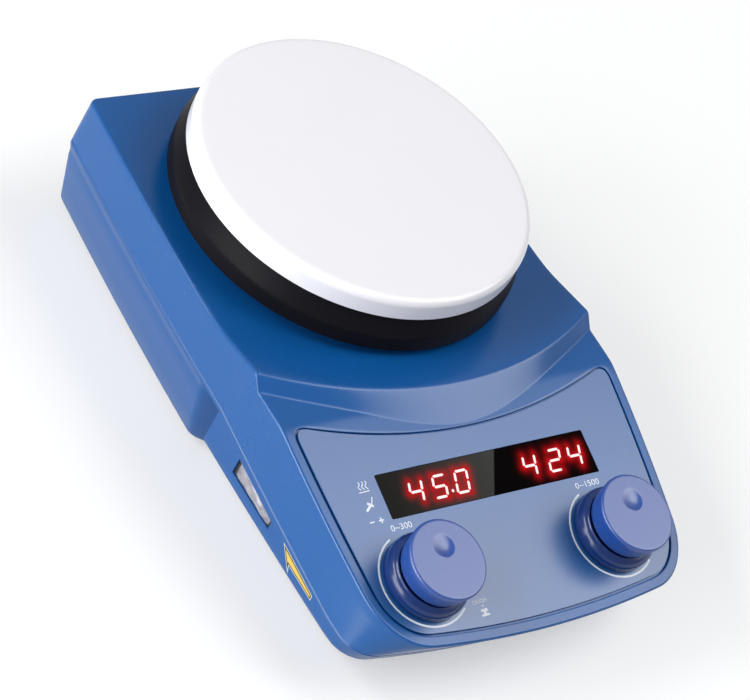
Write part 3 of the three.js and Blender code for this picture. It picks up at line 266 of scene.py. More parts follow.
def curved(t, *corners):
    """A curve from the first corner to the last, pulled to those between: the points a share t along each
    straight line between neighbours, and so on with these until one point is left."""
    while len(corners) > 1:
        corners = [a + (b - a) * t for a, b in zip(corners, corners[1:])]
    return corners[0]


def rounded_corner(before, corner, after, radius, steps):
    """Points round a bend between two straight lines: a parabola that touches both, from arrays of y and
    z."""
    to_before, to_after = unit(before - corner), unit(after - corner)
    cosine = np.clip(-(to_before * to_after).sum(-1, keepdims=True), -1, 1)
    reach = radius * np.tan(np.arccos(cosine) / 2)
    t = np.linspace(0, 1, steps)[:, None, None]
    return curved(t, corner + to_before * reach, corner, corner + to_after * reach)


def front_corner(t, half_width, front_at, side_end, radius, ahead):
    """A cubic curve from the side of an outline round to its front, close to a quarter circle, and its last
    x."""
    pull = radius * arc_pull
    pulled = side_end + ahead * pull
    end_half = half_width(side_end) - radius
    corners = [(half_width(side_end), side_end), (half_width(pulled), pulled),
               (end_half + pull, front_at(end_half + pull)), (end_half, front_at(end_half))]
    return curved(t[:, None], *np.array(corners)), end_half


def plan_loop(half_width, front_edge, corner_radius, count=400):
    """Half of the housing's outline in plan, from the middle of the back round the right side to the middle
    of the front. It is straight at the back, a quarter circle at the rear corner, the given half width along
    the side, a cubic curve at the front corner and a parabola along the front."""
    def front_at(x):
        return front + front_edge + front_bow * (x / widest_half) ** 2

    side_end = front_at(half_width(front + front_edge + corner_radius)) + corner_radius
    rear_half = half_width(back - rear_corner) - rear_corner
    t = np.linspace(0, 1, count)[:-1]
    turn = t * math.pi / 2
    rear = np.stack([rear_half * t, np.full_like(t, back)], 1)
    rear_arc = np.stack([rear_half + rear_corner * np.sin(turn),
                         back - rear_corner + rear_corner * np.cos(turn)], 1)
    side_y = (back - rear_corner) + (side_end - back + rear_corner) * t
    side = np.stack([half_width(side_y), side_y], 1)
    corner, end_half = front_corner(t, half_width, front_at, side_end, corner_radius, -1)
    front_x = end_half * (1 - np.linspace(0, 1, count))
    return np.concatenate([rear, rear_arc, side, corner, np.stack([front_x, front_at(front_x)], 1)])


def moved_aside(line, distance):
    """The line moved square to its own run, to the right."""
    run = unit(np.gradient(line, axis=0))
    return line + distance * np.stack([run[:, 1], -run[:, 0]], 1)


def pick(track, places):
    """Points of a track at fractional index places."""
    whole = np.arange(len(track))
    return np.stack([np.interp(places, whole, track[:, k]) for k in range(track.shape[1])], 1)


def along_run(track, first, last, shares):
    """Fractional index places that split a stretch of a track by shares of its length."""
    whole = np.arange(len(track))
    length = np.concatenate([[0], np.cumsum(np.linalg.norm(np.diff(track, axis=0), axis=1))])
    ends = np.interp([first, last], whole, length)
    return np.interp(ends[0] + (ends[1] - ends[0]) * shares, length, whole)


def crowded(count, lean=0.86):
    """Shares from 0 to 1 that lie closer together at both ends, as a sine does."""
    t = np.linspace(-1, 1, count)
    return (np.sin(t * lean * math.pi / 2) / math.sin(lean * math.pi / 2) + 1) / 2


def even_steps(first, *legs):
    """Places from the first to the end of each leg in turn, with each leg's own count of even steps."""
    places = np.array([first])
    for end, count in legs:
        places = np.concatenate([places, np.linspace(places[-1], end, count + 1)[1:]])
    return places


def quads(rows, columns):
    """Faces of a grid of points, numbered row by row."""
    row, column = np.meshgrid(np.arange(rows - 1), np.arange(columns - 1), indexing="ij")
    first = (row * columns + column).ravel()
    return np.stack([first, first + 1, first + columns + 1, first + columns], 1)


def weld(patches, kept=slice(None)):
    """One set of points and faces from the kept faces of several grids: points that share a place become one,
    and faces lose repeated corners, or go when fewer than three are left."""
    points, faces, count = [], [], 0
    for grid in patches:
        points.append(grid.reshape(-1, 3))
        faces.append(quads(*grid.shape[:2])[kept] + count)
        count += len(points[-1])
    points, faces = np.concatenate(points), np.concatenate(faces)
    _, first, same = np.unique(np.round(points, 3), axis=0, return_index=True, return_inverse=True)
    whole = []
    for face in same.reshape(-1)[faces].tolist():
        corners = [c for i, c in enumerate(face) if c != face[i - 1]]
        if len(set(corners)) >= 3 and len(set(corners)) == len(corners):
            whole.append(corners)
    return points[first], whole


def thickened(points, faces, wall, outward=None):
    """A closed shell: the skin, a copy of it one wall further in, along the points' normals or against one
    outward direction, and a rim round every open edge."""
    if outward is None:
        normals = np.zeros_like(points)
        for face in faces:
            corner = points[face]
            normals[face] += np.cross(corner[2] - corner[0], corner[-1] - corner[1])
        outward = normals / np.maximum(np.linalg.norm(normals, axis=1, keepdims=True), 1e-9)
    count = len(points)
    edges = {(a, b): None for face in faces for a, b in zip(face, face[1:] + face[:1])}
    rim = [[b, a, a + count, b + count] for a, b in edges if (b, a) not in edges]
    inner = [[c + count for c in reversed(face)] for face in faces]
    return np.concatenate([points, points - np.asarray(outward) * wall]), faces + inner + rim


def shown(name, mesh, material, sharp=32.0):
    """A scene object of a mesh in one material. Edges that turn more than the sharp angle stay crisp."""
    mesh.materials.clear()
    mesh.materials.append(material)
    mesh.shade_smooth()
    mesh.set_sharp_from_angle(angle=math.radians(sharp))
    made = bpy.data.objects.new(name, mesh)
    scene.collection.objects.link(made)
    return made


def make_piece(name, points, faces, material, sharp=32.0):
    """A scene object from points in millimetres."""
    mesh = bpy.data.meshes.new(name)
    mesh.from_pydata((np.asarray(points, float) / 1000).tolist(), [], [list(map(int, f)) for f in faces])
    mesh.validate()
    return shown(name, mesh, material, sharp)


edge_loop = plan_loop(edge_half, 0.0, panel_corner)
seam_lean = front_lean * (surface_height(front) - seam_front) / (surface_height(front) - skirt_foot)
seam_loop = plan_loop(skirt_half, seam_lean, skirt_corner)
top_loop = moved_aside(edge_loop, top_edge_round)
loop_parts = np.arange(6) * (len(edge_loop) // 5)


def crest_rows(x):
    """Points over ramp, crest, band and foot at each x, as arrays of y and z: straight runs between two
    rounds."""
    def point(y, z):
        return np.stack([y, z + 0 * y], -1)

    middle, behind, ahead = crest_at(x) + ramp_rows_reach, foot_at(x), foot_at(x) - foot_rows_reach
    start = point(middle, deck_and_ramp(x, middle))
    crest = point(crest_at(x), deck_height + crest_rise)
    foot = point(behind, surface_height(behind))
    over = rounded_corner(start, crest, foot, crest_round, 8)
    under = rounded_corner(crest, foot, point(ahead, surface_height(ahead)), band_foot_fillet, 5)
    t = np.linspace(0, 1, 6)[:, None, None]
    ramp = start + (over[:1] - start) * t[:-1]
    band = over[-1] + (under[0] - over[-1]) * t[1:-1]
    return np.concatenate([ramp, over, band, under])


def row_ends():
    """Half widths at which the crest's rows reach the inner line of the edge's round, found by trying six
    times."""
    side = top_loop[loop_parts[2]:loop_parts[3]]
    half = np.full(len(crest_rows(np.zeros(1))), widest_half)
    rows = np.arange(len(half))
    for _ in range(6):
        half = np.interp(-crest_rows(half)[rows, rows, 0], -side[:, 1], side[:, 0])
    return half


column_count = 97
crest_ends = row_ends()
crest_x = crest_ends[:, None] * (1 - 2 * crowded(column_count))
crest_all = np.stack([crest_rows(line)[k] for k, line in enumerate(crest_x)])
crest_grid = np.concatenate([crest_x[..., None], crest_all], -1)

# The right half of the top's outer line, from the middle of the back to the middle of the front
window_columns, edge_steps, rows_over_window = 8, 5, 3
side_y = top_loop[:, 1]
window_place = loop_parts[1] * rear_window_half / top_loop[loop_parts[1] - 1, 0]
crest_places = np.interp(-crest_grid[:, 0, 1], -side_y[loop_parts[2]:loop_parts[3]],
                         np.arange(loop_parts[2], loop_parts[3]))
deck_places = even_steps(0, (window_place, window_columns), (loop_parts[1], 4), (loop_parts[2], 6),
                         (crest_places[0], 25))[:-1]
corner_middle = (loop_parts[3] + loop_parts[4]) / 2
side_shares, front_shares = crowded(31), crowded(61)[:31] * 2
strip_places = along_run(top_loop, crest_places[-1], corner_middle, side_shares)
front_places = along_run(top_loop, corner_middle, loop_parts[5], front_shares)
panel_places = np.concatenate([strip_places[1:], front_places[1:]])
deck_edge = pick(top_loop, deck_places)
deck_edge = np.column_stack([deck_edge, deck_and_ramp(deck_edge[:, 0], deck_edge[:, 1])])
panel_edge = pick(top_loop, panel_places)
panel_edge = np.column_stack([panel_edge, surface_height(panel_edge[:, 1])])
top_edge = np.concatenate([deck_edge, crest_grid[:, 0], panel_edge])
edge_places = np.concatenate([deck_places, crest_places, panel_places])
mirror = np.array([-1.0, 1.0, 1.0])


def whole_loop(half):
    """A closed loop from its right half: the half, then its mirror image backwards."""
    return np.concatenate([half, (half * mirror[:half.shape[1]])[::-1][1:]])


# Sides: the round over the top edge, then straight down and out to the seam
wall_top = pick(edge_loop, edge_places)
wall_foot = pick(seam_loop, edge_places)
seam_z = seam_at(wall_foot[:, 1]) + seam_gap / 2
side_rows = [top_edge]
for angle in np.linspace(0, math.pi / 2, edge_steps + 1)[1:]:
    plan = top_edge[:, :2] + (wall_top - top_edge[:, :2]) * math.sin(angle)
    side_rows.append(np.column_stack([plan, top_edge[:, 2] - top_edge_round * (1 - math.cos(angle))]))
wall_z = top_edge[:, 2] - top_edge_round
window_share = (wall_z[0] - rear_window_top) / (wall_z[0] - seam_z[0])
for share in even_steps(0, (window_share, rows_over_window), (0.985, 3), (1.0, 1))[1:]:
    plan = wall_top + (wall_foot - wall_top) * share
    side_rows.append(np.column_stack([plan, wall_z + (seam_z - wall_z) * share]))
side_grid = np.stack([whole_loop(row) for row in side_rows])
window_row = edge_steps + rows_over_window

# Deck: rays from the neck to the outer line
deck_loop = np.concatenate([deck_edge, crest_grid[0], (deck_edge * mirror)[::-1]])
deck_angle = np.arctan2(deck_loop[:, 1] - plate_middle[1], deck_loop[:, 0])
ring_plan = np.stack([np.cos(deck_angle), np.sin(deck_angle)], 1)
deck_inner = ring_plan * (neck_radius + neck_fillet) + [0, plate_middle[1]]
deck_plan = deck_inner + (deck_loop[:, :2] - deck_inner) * np.linspace(0, 1, 16)[:, None, None]
deck_grid = np.concatenate([deck_plan, deck_and_ramp(deck_plan[..., 0], deck_plan[..., 1])[..., None]], -1)
deck_grid[-1] = deck_loop


def ring_row(radius, height):
    """A circle round the plate's axis under the deck's rays."""
    plan = ring_plan * radius + [0, plate_middle[1]]
    return np.column_stack([plan, np.broadcast_to(height, len(plan))])


neck_rows = [ring_row(throat_radius, neck_top - throat_deep), ring_row(throat_radius, neck_top - 0.4),
             ring_row(throat_radius + 0.4, neck_top), ring_row(neck_radius - 0.8, neck_top),
             ring_row(neck_radius - 0.25, neck_top - 0.25), ring_row(neck_radius, neck_top - 0.8)]
for angle in np.linspace(math.pi / 2, 0, 6):
    neck_rows.append(ring_row(neck_radius + neck_fillet * (1 - math.sin(angle)),
                              deck_grid[0, :, 2] + neck_fillet * (1 - math.cos(angle))))
neck_rows[-1] = deck_grid[0]
label_margin, label_rise, label_sag = 5.0, 10.9, 13.3
label_small, label_large = 6.0, 16.0
panel_run = panel_length / math.cos(panel_slope)


def label_loop(grown, count=200):
    """Right half of the label sheet's outline, grown outwards, from the middle of its upper edge to the
    middle of its lower edge, as x and distance down the slope: a sagging parabola, a small corner, the side
    at one distance from the housing's edge, a large corner and a bowed lower edge."""
    def side(down):
        return edge_half(panel_top - down * math.cos(panel_slope)) - label_margin + grown

    def top(x):
        return label_rise - grown - label_sag * (x / side(0.0)) ** 2

    def bottom(x):
        return panel_run - label_margin + grown - front_bow * (x / widest_half) ** 2

    small, large = label_small + grown, label_large + grown
    corner_down = top(side(0.0))
    low_end = bottom(side(panel_run - label_margin + grown)) - large
    t = np.linspace(0, 1, count)[:-1]
    x = (side(0.0) - small) * t
    upper = np.stack([x, top(x)], 1)
    corners = [(side(0.0) - small, top(side(0.0) - small)), (side(corner_down), corner_down),
               (side(corner_down + small), corner_down + small)]
    down = corner_down + small + (low_end - corner_down - small) * t
    low_corner, low_half = front_corner(t, side, bottom, low_end, large, 1)
    x = low_half * (1 - np.linspace(0, 1, count))
    return np.concatenate([upper, curved(t[:, None], *np.array(corners)), np.stack([side(down), down], 1),
                           low_corner, np.stack([x, bottom(x)], 1)])


def on_panel(points, height):
    """Row frame points from x, distance down the slope and height over the panel's plane."""
    x, down = points[..., 0], points[..., 1]
    fall, reach = math.sin(panel_slope), math.cos(panel_slope)
    return np.stack([x, panel_top - down * reach - height * fall,
                     deck_height - down * fall + height * reach], -1)


def label_ring(grown, height):
    """The whole outline of the grown label in the order of the strip's columns, clockwise from the upper
    left."""
    half = label_loop(grown)
    parts = np.arange(6) * (len(half) // 5)
    upper_corner, lower_corner = (parts[1] + parts[2]) / 2, (parts[3] + parts[4]) / 2
    half_count = column_count // 2
    upper_shares = np.concatenate([[0.0], 1 - 2 * crowded(column_count)[:half_count][::-1]])
    right = np.concatenate([pick(half, along_run(half, 0, upper_corner, upper_shares)),
                            pick(half, along_run(half, upper_corner, lower_corner, side_shares))[1:],
                            pick(half, along_run(half, lower_corner, parts[5], front_shares))[1:]])
    flat = np.roll(whole_loop(right)[:-1], half_count, axis=0)
    return on_panel(np.concatenate([flat, flat[:1]]), height)


# Strip round the label: rays from the groove's outer edge to the crest's foot and the outer line
groove_wide = 1.0
groove_deep = 1.1
strip_outer = np.concatenate([crest_grid[-1][::-1], whole_loop(panel_edge), crest_grid[-1][-1:]])
strip_inner = label_ring(groove_wide + 0.3, 0)[:, :2]
strip_plan = strip_inner + (strip_outer[:, :2] - strip_inner) * np.linspace(0, 1, 12)[:, None, None]
strip_grid = np.concatenate([strip_plan, surface_height(strip_plan[..., 1])[..., None]], -1)
strip_grid[-1] = strip_outer
groove_rows = ((groove_wide - 3, -groove_deep), (groove_wide - 0.15, -groove_deep),
               (groove_wide, 0.15 - groove_deep), (groove_wide, -0.3), (groove_wide + 0.09, -0.09))
groove_grid = np.stack([label_ring(*row) for row in groove_rows] + [strip_grid[0]])

shell_points, shell_faces = weld([side_grid[:window_row + 1], deck_grid, np.stack(neck_rows), crest_grid,
                                  strip_grid,
                                  groove_grid, side_grid[window_row:, window_columns:-window_columns]])
housing_points, housing_faces = thickened(shell_points, shell_faces, shell_wall)


def fine_grain():
    """Shader group for moulded and painted skins: a fine pebbled height, and a slow drift of tone from 0 to
    1."""
    group = bpy.data.node_groups.new("fine_grain", "ShaderNodeTree")
    nodes, links = group.nodes, group.links
    given = nodes.new("NodeGroupInput")
    result = nodes.new("NodeGroupOutput")
    place = nodes.new("ShaderNodeTexCoord")
    for size, usual, output, detail in (("Grain Size", 0.0008, "Height", 2.0),
                                        ("Drift Size", 0.05, "Drift", 3.0)):
        socket = group.interface.new_socket(size, in_out="INPUT", socket_type="NodeSocketFloat")
        socket.default_value = usual
        group.interface.new_socket(output, in_out="OUTPUT", socket_type="NodeSocketFloat")
        scale = nodes.new("ShaderNodeMath")
        scale.operation = "DIVIDE"
        scale.inputs[0].default_value = 1.0
        links.new(given.outputs[size], scale.inputs[1])
        noise = nodes.new("ShaderNodeTexNoise")
        noise.inputs["Detail"].default_value = detail
        links.new(place.outputs["Object"], noise.inputs["Vector"])
        links.new(scale.outputs[0], noise.inputs["Scale"])
        links.new(noise.outputs["Fac"], result.inputs[output])
    return group


grain_group = fine_grain()


def moulded(name, dark, light, rough, grain=0.0008, bump=0.00002, drift=0.05, specular=0.5, coat=0.0):
    """A skin whose colour drifts slowly between two close tones, with a fine pebbled surface."""
    material, tree, surface = new_material(name, {"Specular IOR Level": specular, "Coat Weight": coat,
                                                  "Coat Roughness": 0.12})
    nodes, links = tree.nodes, tree.links
    grains = nodes.new("ShaderNodeGroup")
    grains.node_tree = grain_group
    grains.inputs["Grain Size"].default_value = grain
    grains.inputs["Drift Size"].default_value = drift
    toned(tree, grains.outputs["Drift"], dark, light, surface.inputs["Base Color"])
    gloss = nodes.new("ShaderNodeMapRange")
    gloss.inputs["To Min"].default_value = rough * 0.9
    gloss.inputs["To Max"].default_value = rough * 1.1
    links.new(grains.outputs["Drift"], gloss.inputs["Value"])
    links.new(gloss.outputs["Result"], surface.inputs["Roughness"])
    relief = nodes.new("ShaderNodeBump")
    relief.inputs["Distance"].default_value = bump
    relief.inputs["Strength"].default_value = 0.5
    links.new(grains.outputs["Height"], relief.inputs["Height"])
    links.new(relief.outputs["Normal"], surface.inputs["Normal"])
    return material


upper_enamel = moulded("upper_enamel", (0.0025, 0.079, 0.285), (0.0035, 0.087, 0.305), 0.27, specular=0.55)
cover = make_piece("housing_cover", housing_points, housing_faces, upper_enamel)
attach(cover, "housing")
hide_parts("upper_housing")


# Lower shell: the blue moulded tub that carries the upper housing, with a skirt round the front, a step and a
# hand-grip scoop on each side, leaning rear walls and the switch's cut-out on the left.
lower_shell = moulded("lower_shell", (0.006, 0.078, 0.275), (0.008, 0.086, 0.293), 0.34)
switch_lintel = 3.6
switch_sill = 23.88
switch_rear, switch_front = panel_top + 10.7, panel_top - 15.5
grip_strip = 35.5
grip_out = 1.4
grip_shoulder = 6.0
grip_lean = 5.3
grip_foot = 5.6
scoop_deep, scoop_long, scoop_soft = 14.0, 15.0, 0.25
lip = 0.6
skirt_round = 1.5
under_run = 11.5
rear_window_low = 13.8
bottom_height = 3.0
side_start, side_end = loop_parts[2], loop_parts[3]
side_run = seam_loop[side_start:side_end]


def place_on(loop, y, end=side_end):
    """Fractional index of places y on a loop's side, up to one of its parts."""
    return np.interp(-y, -loop[side_start:end, 1], np.arange(side_start, end))


def scoop_at(y):
    """Depth of the scoop: a straight ramp with a soft start that ends at the step."""
    share = np.clip((seam_bend + scoop_long - y) / scoop_long, 0, 1)
    ramp = np.where(share < scoop_soft, share ** 2 / (2 * scoop_soft), share - scoop_soft / 2)
    return scoop_deep * ramp / (1 - scoop_soft / 2)


# The stations of the lower shell run round the seam's outline. Each row of heights belongs to both of its
# forms.
tub_window_place = loop_parts[1] * rear_window_half / seam_loop[loop_parts[1] - 1, 0]
tub_rear = even_steps(0, (tub_window_place, window_columns), (loop_parts[1], 4), (side_start, 6))
scoop_y = seam_bend + scoop_long * (1 - np.linspace(0, 1, 18) ** 1.3)
scoop_places = place_on(seam_loop, scoop_y)
grip_places = np.concatenate([tub_rear, even_steps(side_start, (scoop_places[0], 11))[1:], scoop_places[1:]])
before_switch, over_switch = 7, 9
skirt_y = even_steps(seam_bend, (switch_rear, before_switch), (switch_front, over_switch), (seam_low_end, 11))
round_front = even_steps(place_on(seam_loop, seam_low_end), (side_end, 4), (loop_parts[4], 14),
                         (loop_parts[5], 12))
skirt_places = np.concatenate([place_on(seam_loop, skirt_y), round_front[1:]])

# Rear form: strip under the seam, ledge of the scoop, curved shoulder, leaning wall, rounded lower edge
grip_edge = plan_loop(edge_half, front_lean, skirt_corner)
seam_low = seam_height - seam_gap / 2
shoulder_foot = grip_strip - grip_shoulder
grip_levels = [(seam_low, grip_out), (seam_low - lip, grip_out)] + [(grip_strip, grip_out)] * 2
strip_rows = 3
for share in np.linspace(0, 1, 7)[1:]:
    grip_levels.append((grip_strip - grip_shoulder * share, grip_out * (1 - share) ** 2))
for height in (switch_sill, skirt_foot, 19.3, 18.8, skirt_foot - skirt_round, rear_window_low, grip_foot):
    grip_levels.append((height, -grip_lean * (shoulder_foot - height) / (shoulder_foot - grip_foot)))
grip_levels += [(4.5, -grip_lean - 0.6), (3.6, -grip_lean - 1.5), (bottom_height, -grip_lean - 2.6)]
side_y = pick(seam_loop, grip_places[len(tub_rear):])[:, 1]
grip_base = pick(grip_edge, np.concatenate([tub_rear, place_on(grip_edge, side_y)]))
grip_scoop = scoop_at(grip_base[:, 1])
outward = np.interp(grip_places, [tub_window_place, loop_parts[1]], [0, 1])
grip_rows = []
for number, (height, offset) in enumerate(grip_levels):
    plan = grip_base.copy()
    plan[:, 0] += (offset - (grip_scoop if number >= strip_rows else 0)) * outward
    if number < 2:
        plan = pick(seam_loop, grip_places)
    grip_rows.append(np.column_stack([plan, np.full(len(plan), height)]))
grip_rows[0][:, :2] = pick(moved_aside(seam_loop, lip), grip_places)

# Front form: upright skirt, rounded lower edge, underside that slopes in to the bottom
skirt_plan = pick(seam_loop, skirt_places)


def skirt_stations(loop):
    """The skirt's stations on another outline: at the same distances from the back up to the switch, and at
    the same shares of the outline further on."""
    same_y = place_on(loop, skirt_plan[:, 1], loop_parts[4])
    share = np.clip((switch_front - skirt_plan[:, 1]) / (switch_front - seam_low_end), 0, 1)
    return pick(loop, same_y + (skirt_places - same_y) * share)


def under_row(inset, height):
    """The skirt's stations on an outline drawn in by an inset, at one height."""
    loop = plan_loop(lambda y: skirt_half(y) - inset, front_lean + inset, skirt_corner)
    return np.column_stack([skirt_stations(loop), np.full(len(skirt_places), height)])


low_plan = skirt_stations(plan_loop(skirt_half, front_lean, skirt_corner))
skirt_top = seam_at(skirt_plan[:, 1]) - seam_gap / 2
lintel = np.minimum(skirt_top - switch_lintel + seam_gap / 2, skirt_top)
sill = np.minimum(switch_sill, (lintel + skirt_foot) / 2)
skirt_levels = [skirt_top, skirt_top - lip, skirt_top - 1.8, skirt_top - 1.8, skirt_top - 2.7, lintel]
lintel_row = len(skirt_levels) - 1
skirt_levels += [lintel + (sill - lintel) * share for share in (0.25, 0.5, 0.7, 0.85)]
sill_row = len(skirt_levels)
skirt_rows = []
for level in skirt_levels + [sill, np.full(len(sill), skirt_foot)]:
    share = np.clip((skirt_top - level) / (skirt_top - skirt_foot), 0, 1)[:, None]
    skirt_rows.append(np.column_stack([skirt_plan + (low_plan - skirt_plan) * share, level]))
skirt_rows[0][:, :2] = pick(moved_aside(seam_loop, lip), skirt_places)
for angle in np.linspace(0, math.pi / 2, 4)[1:]:
    inset = skirt_round * (1 - math.cos(angle))
    skirt_rows.append(under_row(inset, skirt_foot - skirt_round * math.sin(angle)))
round_foot = skirt_foot - skirt_round
for height in (rear_window_low, grip_foot, 4.5, 3.6, bottom_height):
    inset = skirt_round + under_run * (round_foot - height) / (round_foot - bottom_height)
    skirt_rows.append(under_row(inset, height))

# The window of the back panel and the switch's cut-out stay open
tub_grid = np.stack([whole_loop(np.concatenate(rows)) for rows in zip(grip_rows, skirt_rows)])
loop_count = tub_grid.shape[1]
keep = np.ones((len(tub_grid) - 1, loop_count - 1), bool)
window_low_row = [height for height, _ in grip_levels].index(rear_window_low)
keep[:window_low_row, :window_columns] = False
keep[:window_low_row, -window_columns:] = False
switch_last = loop_count - 1 - (len(grip_places) + before_switch)
keep[lintel_row:sill_row, switch_last - over_switch:switch_last] = False
tub_points, tub_faces = thickened(*weld([tub_grid], keep.ravel()), shell_wall)
tub = make_piece("lower_shell", tub_points, tub_faces, lower_shell)
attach(tub, "housing")
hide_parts("base_tub")


# Top plate: a disc turned from aluminium, with a white glass-ceramic coat over its face and its rounded edge.
# It is screwed to the posts from below.
def turned(profile, count=144):
    """Points of a profile of radius and height carried round the upright axis, one row a point, closed on
    itself round the axis."""
    angle = np.linspace(0, -2 * math.pi, count + 1)
    angle[-1] = 0.0
    profile = np.asarray(profile, float)
    return np.stack([profile[:, :1] * np.cos(angle), profile[:, :1] * np.sin(angle),
                     np.repeat(profile[:, 1:], count + 1, 1)], -1)


def turned_piece(profile, count=144, x=0.0, y=0.0):
    """Welded points and faces of a profile turned about an upright axis at a place."""
    return weld([turned(profile, count)[::-1] + [x, y, 0]])


def quarter(radius, height, reach, first, last, steps=8):
    """Profile points on a round of a given reach about a middle, between two angles in degrees."""
    turn = np.radians(np.linspace(first, last, steps))
    return [(radius + reach * math.cos(t), height + reach * math.sin(t)) for t in turn]


plate_ceramic = moulded("plate_ceramic", (0.83, 0.825, 0.865), (0.85, 0.845, 0.88), 0.2, grain=0.0006,
                        bump=0.000004, drift=0.03, specular=0.45)
plate_edge = 3.0
plate_profile = [(0, plate_low[2]), (plate_radius - 0.6, plate_low[2]), (plate_radius, plate_low[2] + 0.6)]
plate_profile += quarter(plate_radius - plate_edge, plate_high[2] - plate_edge, plate_edge, 0, 90, 12)
plate_profile += [(plate_radius - plate_edge - 1.5, plate_high[2]), (0, plate_high[2])]
plate_points, plate_faces = turned_piece(plate_profile, 192, 0, plate_middle[1])
top_plate = make_piece("ceramic_plate", plate_points, plate_faces, plate_ceramic, 40)
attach(top_plate, "housing")
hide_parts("top_plate")


# Ring under the plate: a heat-proof black moulding that hides the gap between plate and neck, with an upright
# wall and a shoulder that draws in under the plate.
ring_black = moulded("ring_black", (0.005, 0.0046, 0.007), (0.007, 0.0064, 0.009), 0.42, grain=0.0007,
                     bump=0.00003,
                     specular=0.06)
ring_low, ring_high = placed(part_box("plate_skirt"))
ring_radius = (ring_high[0] - ring_low[0]) / 2
ring_flange, ring_floor = 11.5, 2.0
ring_wall = 2.4
ring_waist = ring_radius - 3.6
ring_upright = ring_low[2] + 7.6
ring_profile = [(ring_radius - ring_flange, ring_low[2]), (ring_radius - 0.6, ring_low[2]),
                (ring_radius, ring_low[2] + 0.6), (ring_radius, ring_upright - 1.6),
                (ring_radius - 0.1, ring_upright - 0.8), (ring_radius - 0.45, ring_upright),
                (ring_radius - 1.0, ring_upright + 0.9), (ring_waist + 0.2, ring_high[2] - 0.5),
                (ring_waist - 0.2, ring_high[2] - 0.1), (ring_waist - 0.6, ring_high[2]),
                (ring_waist - ring_wall, ring_high[2]),
                (ring_radius - ring_wall, ring_upright - ring_wall / 2),
                (ring_radius - ring_wall, ring_low[2] + ring_floor),
                (ring_radius - ring_flange, ring_low[2] + ring_floor),
                (ring_radius - ring_flange, ring_low[2])]
ring_points, ring_faces = turned_piece(ring_profile, 192, 0, plate_middle[1])
ring = make_piece("plate_ring", ring_points, ring_faces, ring_black, 40)
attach(ring, "housing")
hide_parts("plate_skirt")


# Knobs: each is a moulded cap that presses onto the encoder's shaft, with a dimple for a finger, over a fixed
# glossy collar that is stuck to the panel. The cap's stem in the gap above the collar is black as painted
# shade.
knob_face = moulded("knob_face", (0.008, 0.052, 0.27), (0.010, 0.060, 0.29), 0.35, grain=0.0006,
                    bump=0.000012,
                    specular=1.0)
knob_blue = moulded("knob_blue", (0.003, 0.022, 0.125), (0.004, 0.027, 0.14), 0.24, grain=0.0008,
                    bump=0.000004,
                    specular=0.35, coat=0.2)
# Black for the cap's stem: painted shade of the gap between cap and collar, on a stem of the cap's own blue
# plastic.
painted_gap_shade = moulded("painted_gap_shade", (0.003, 0.003, 0.004), (0.005, 0.005, 0.006), 0.6, bump=0.00001,
                    specular=0.2)
knob_down = panel_run - 27.9
knob_places = {"left": 31.9 - widest_half, "right": widest_half - 36.3}
cap_radius = 15.3
cap_low, cap_high = 8.3, 17.3
cap_foot = cap_radius - 1.2
cap_edge = 1.0
cap_roof = cap_high - 2.5
cap_socket = 5.6
cap_wall = 1.5
dimple_right, dimple_up, dimple_radius, dimple_deep = 0.2, 5.2, 4.4, 1.5
stem_radius, stem_low, stem_high = 12.2, cap_low - 2.6, cap_low + 1.95
collar_radius, collar_high, collar_round = 16.4, 7.0, 4.0
collar_bore, collar_low, collar_floor = 6.4, 0.3, 1.6
panel_turn = np.array([[1, 0, 0], [0, math.cos(panel_slope), -math.sin(panel_slope)],
                       [0, math.sin(panel_slope), math.cos(panel_slope)]])


def set_on_panel(points, x, down):
    """Points of a piece that is upright about its own axis, turned square to the panel and put at a place on
    it."""
    return points @ panel_turn.T + on_panel(np.array([x, float(down)]), 0)


cap_profile = [(0, cap_roof), (cap_socket, cap_roof), (cap_socket, cap_low + 2),
               (cap_foot - cap_wall, cap_low + 2),
               (cap_foot - cap_wall, cap_low), (cap_foot - 0.4, cap_low), (cap_foot - 0.1, cap_low + 0.1),
               (cap_foot, cap_low + 0.4)]
cap_profile += quarter(cap_radius - cap_edge, cap_high - cap_edge, cap_edge, 0, 90, 8)
cap_profile += [(radius, cap_high) for radius in (cap_radius - cap_edge) * np.linspace(1, 0, 48)[1:]]
cap_grid = turned(cap_profile)
right, up = (cap_grid[..., 0] - dimple_right) / dimple_radius, (cap_grid[..., 1] - dimple_up) / dimple_radius
away = np.hypot(right, up)
lean = 0.55 + 0.45 * (right - up) / math.sqrt(2)
in_dimple = (away < 1) & (cap_grid[..., 2] > cap_high - 1e-6)
cap_grid[..., 2] -= np.where(in_dimple, (1 - away ** 2) * lean, 0) * dimple_deep
cap_points, cap_faces = weld([cap_grid[::-1]])
stem_points, stem_faces = turned_piece([(cap_socket, stem_low), (stem_radius, stem_low),
                                        (stem_radius, stem_high),
                                        (cap_socket, stem_high), (cap_socket, stem_low)], 96)
collar_profile = [(collar_bore, collar_low), (collar_radius - 0.2, collar_low), (collar_radius, 0.5)]
collar_profile += quarter(collar_radius - collar_round, collar_high - collar_round, collar_round, 0, 58, 14)
collar_lip = collar_profile[-1][0]
collar_profile += [(collar_lip - 0.25, collar_high - 0.25), (collar_lip - 0.5, collar_high),
                   (collar_lip - 0.9, collar_high), (collar_lip - 1.1, collar_high - 0.2),
                   (collar_lip - 1.15, collar_floor), (collar_bore, collar_floor), (collar_bore, collar_low)]
collar_points, collar_faces = turned_piece(collar_profile)
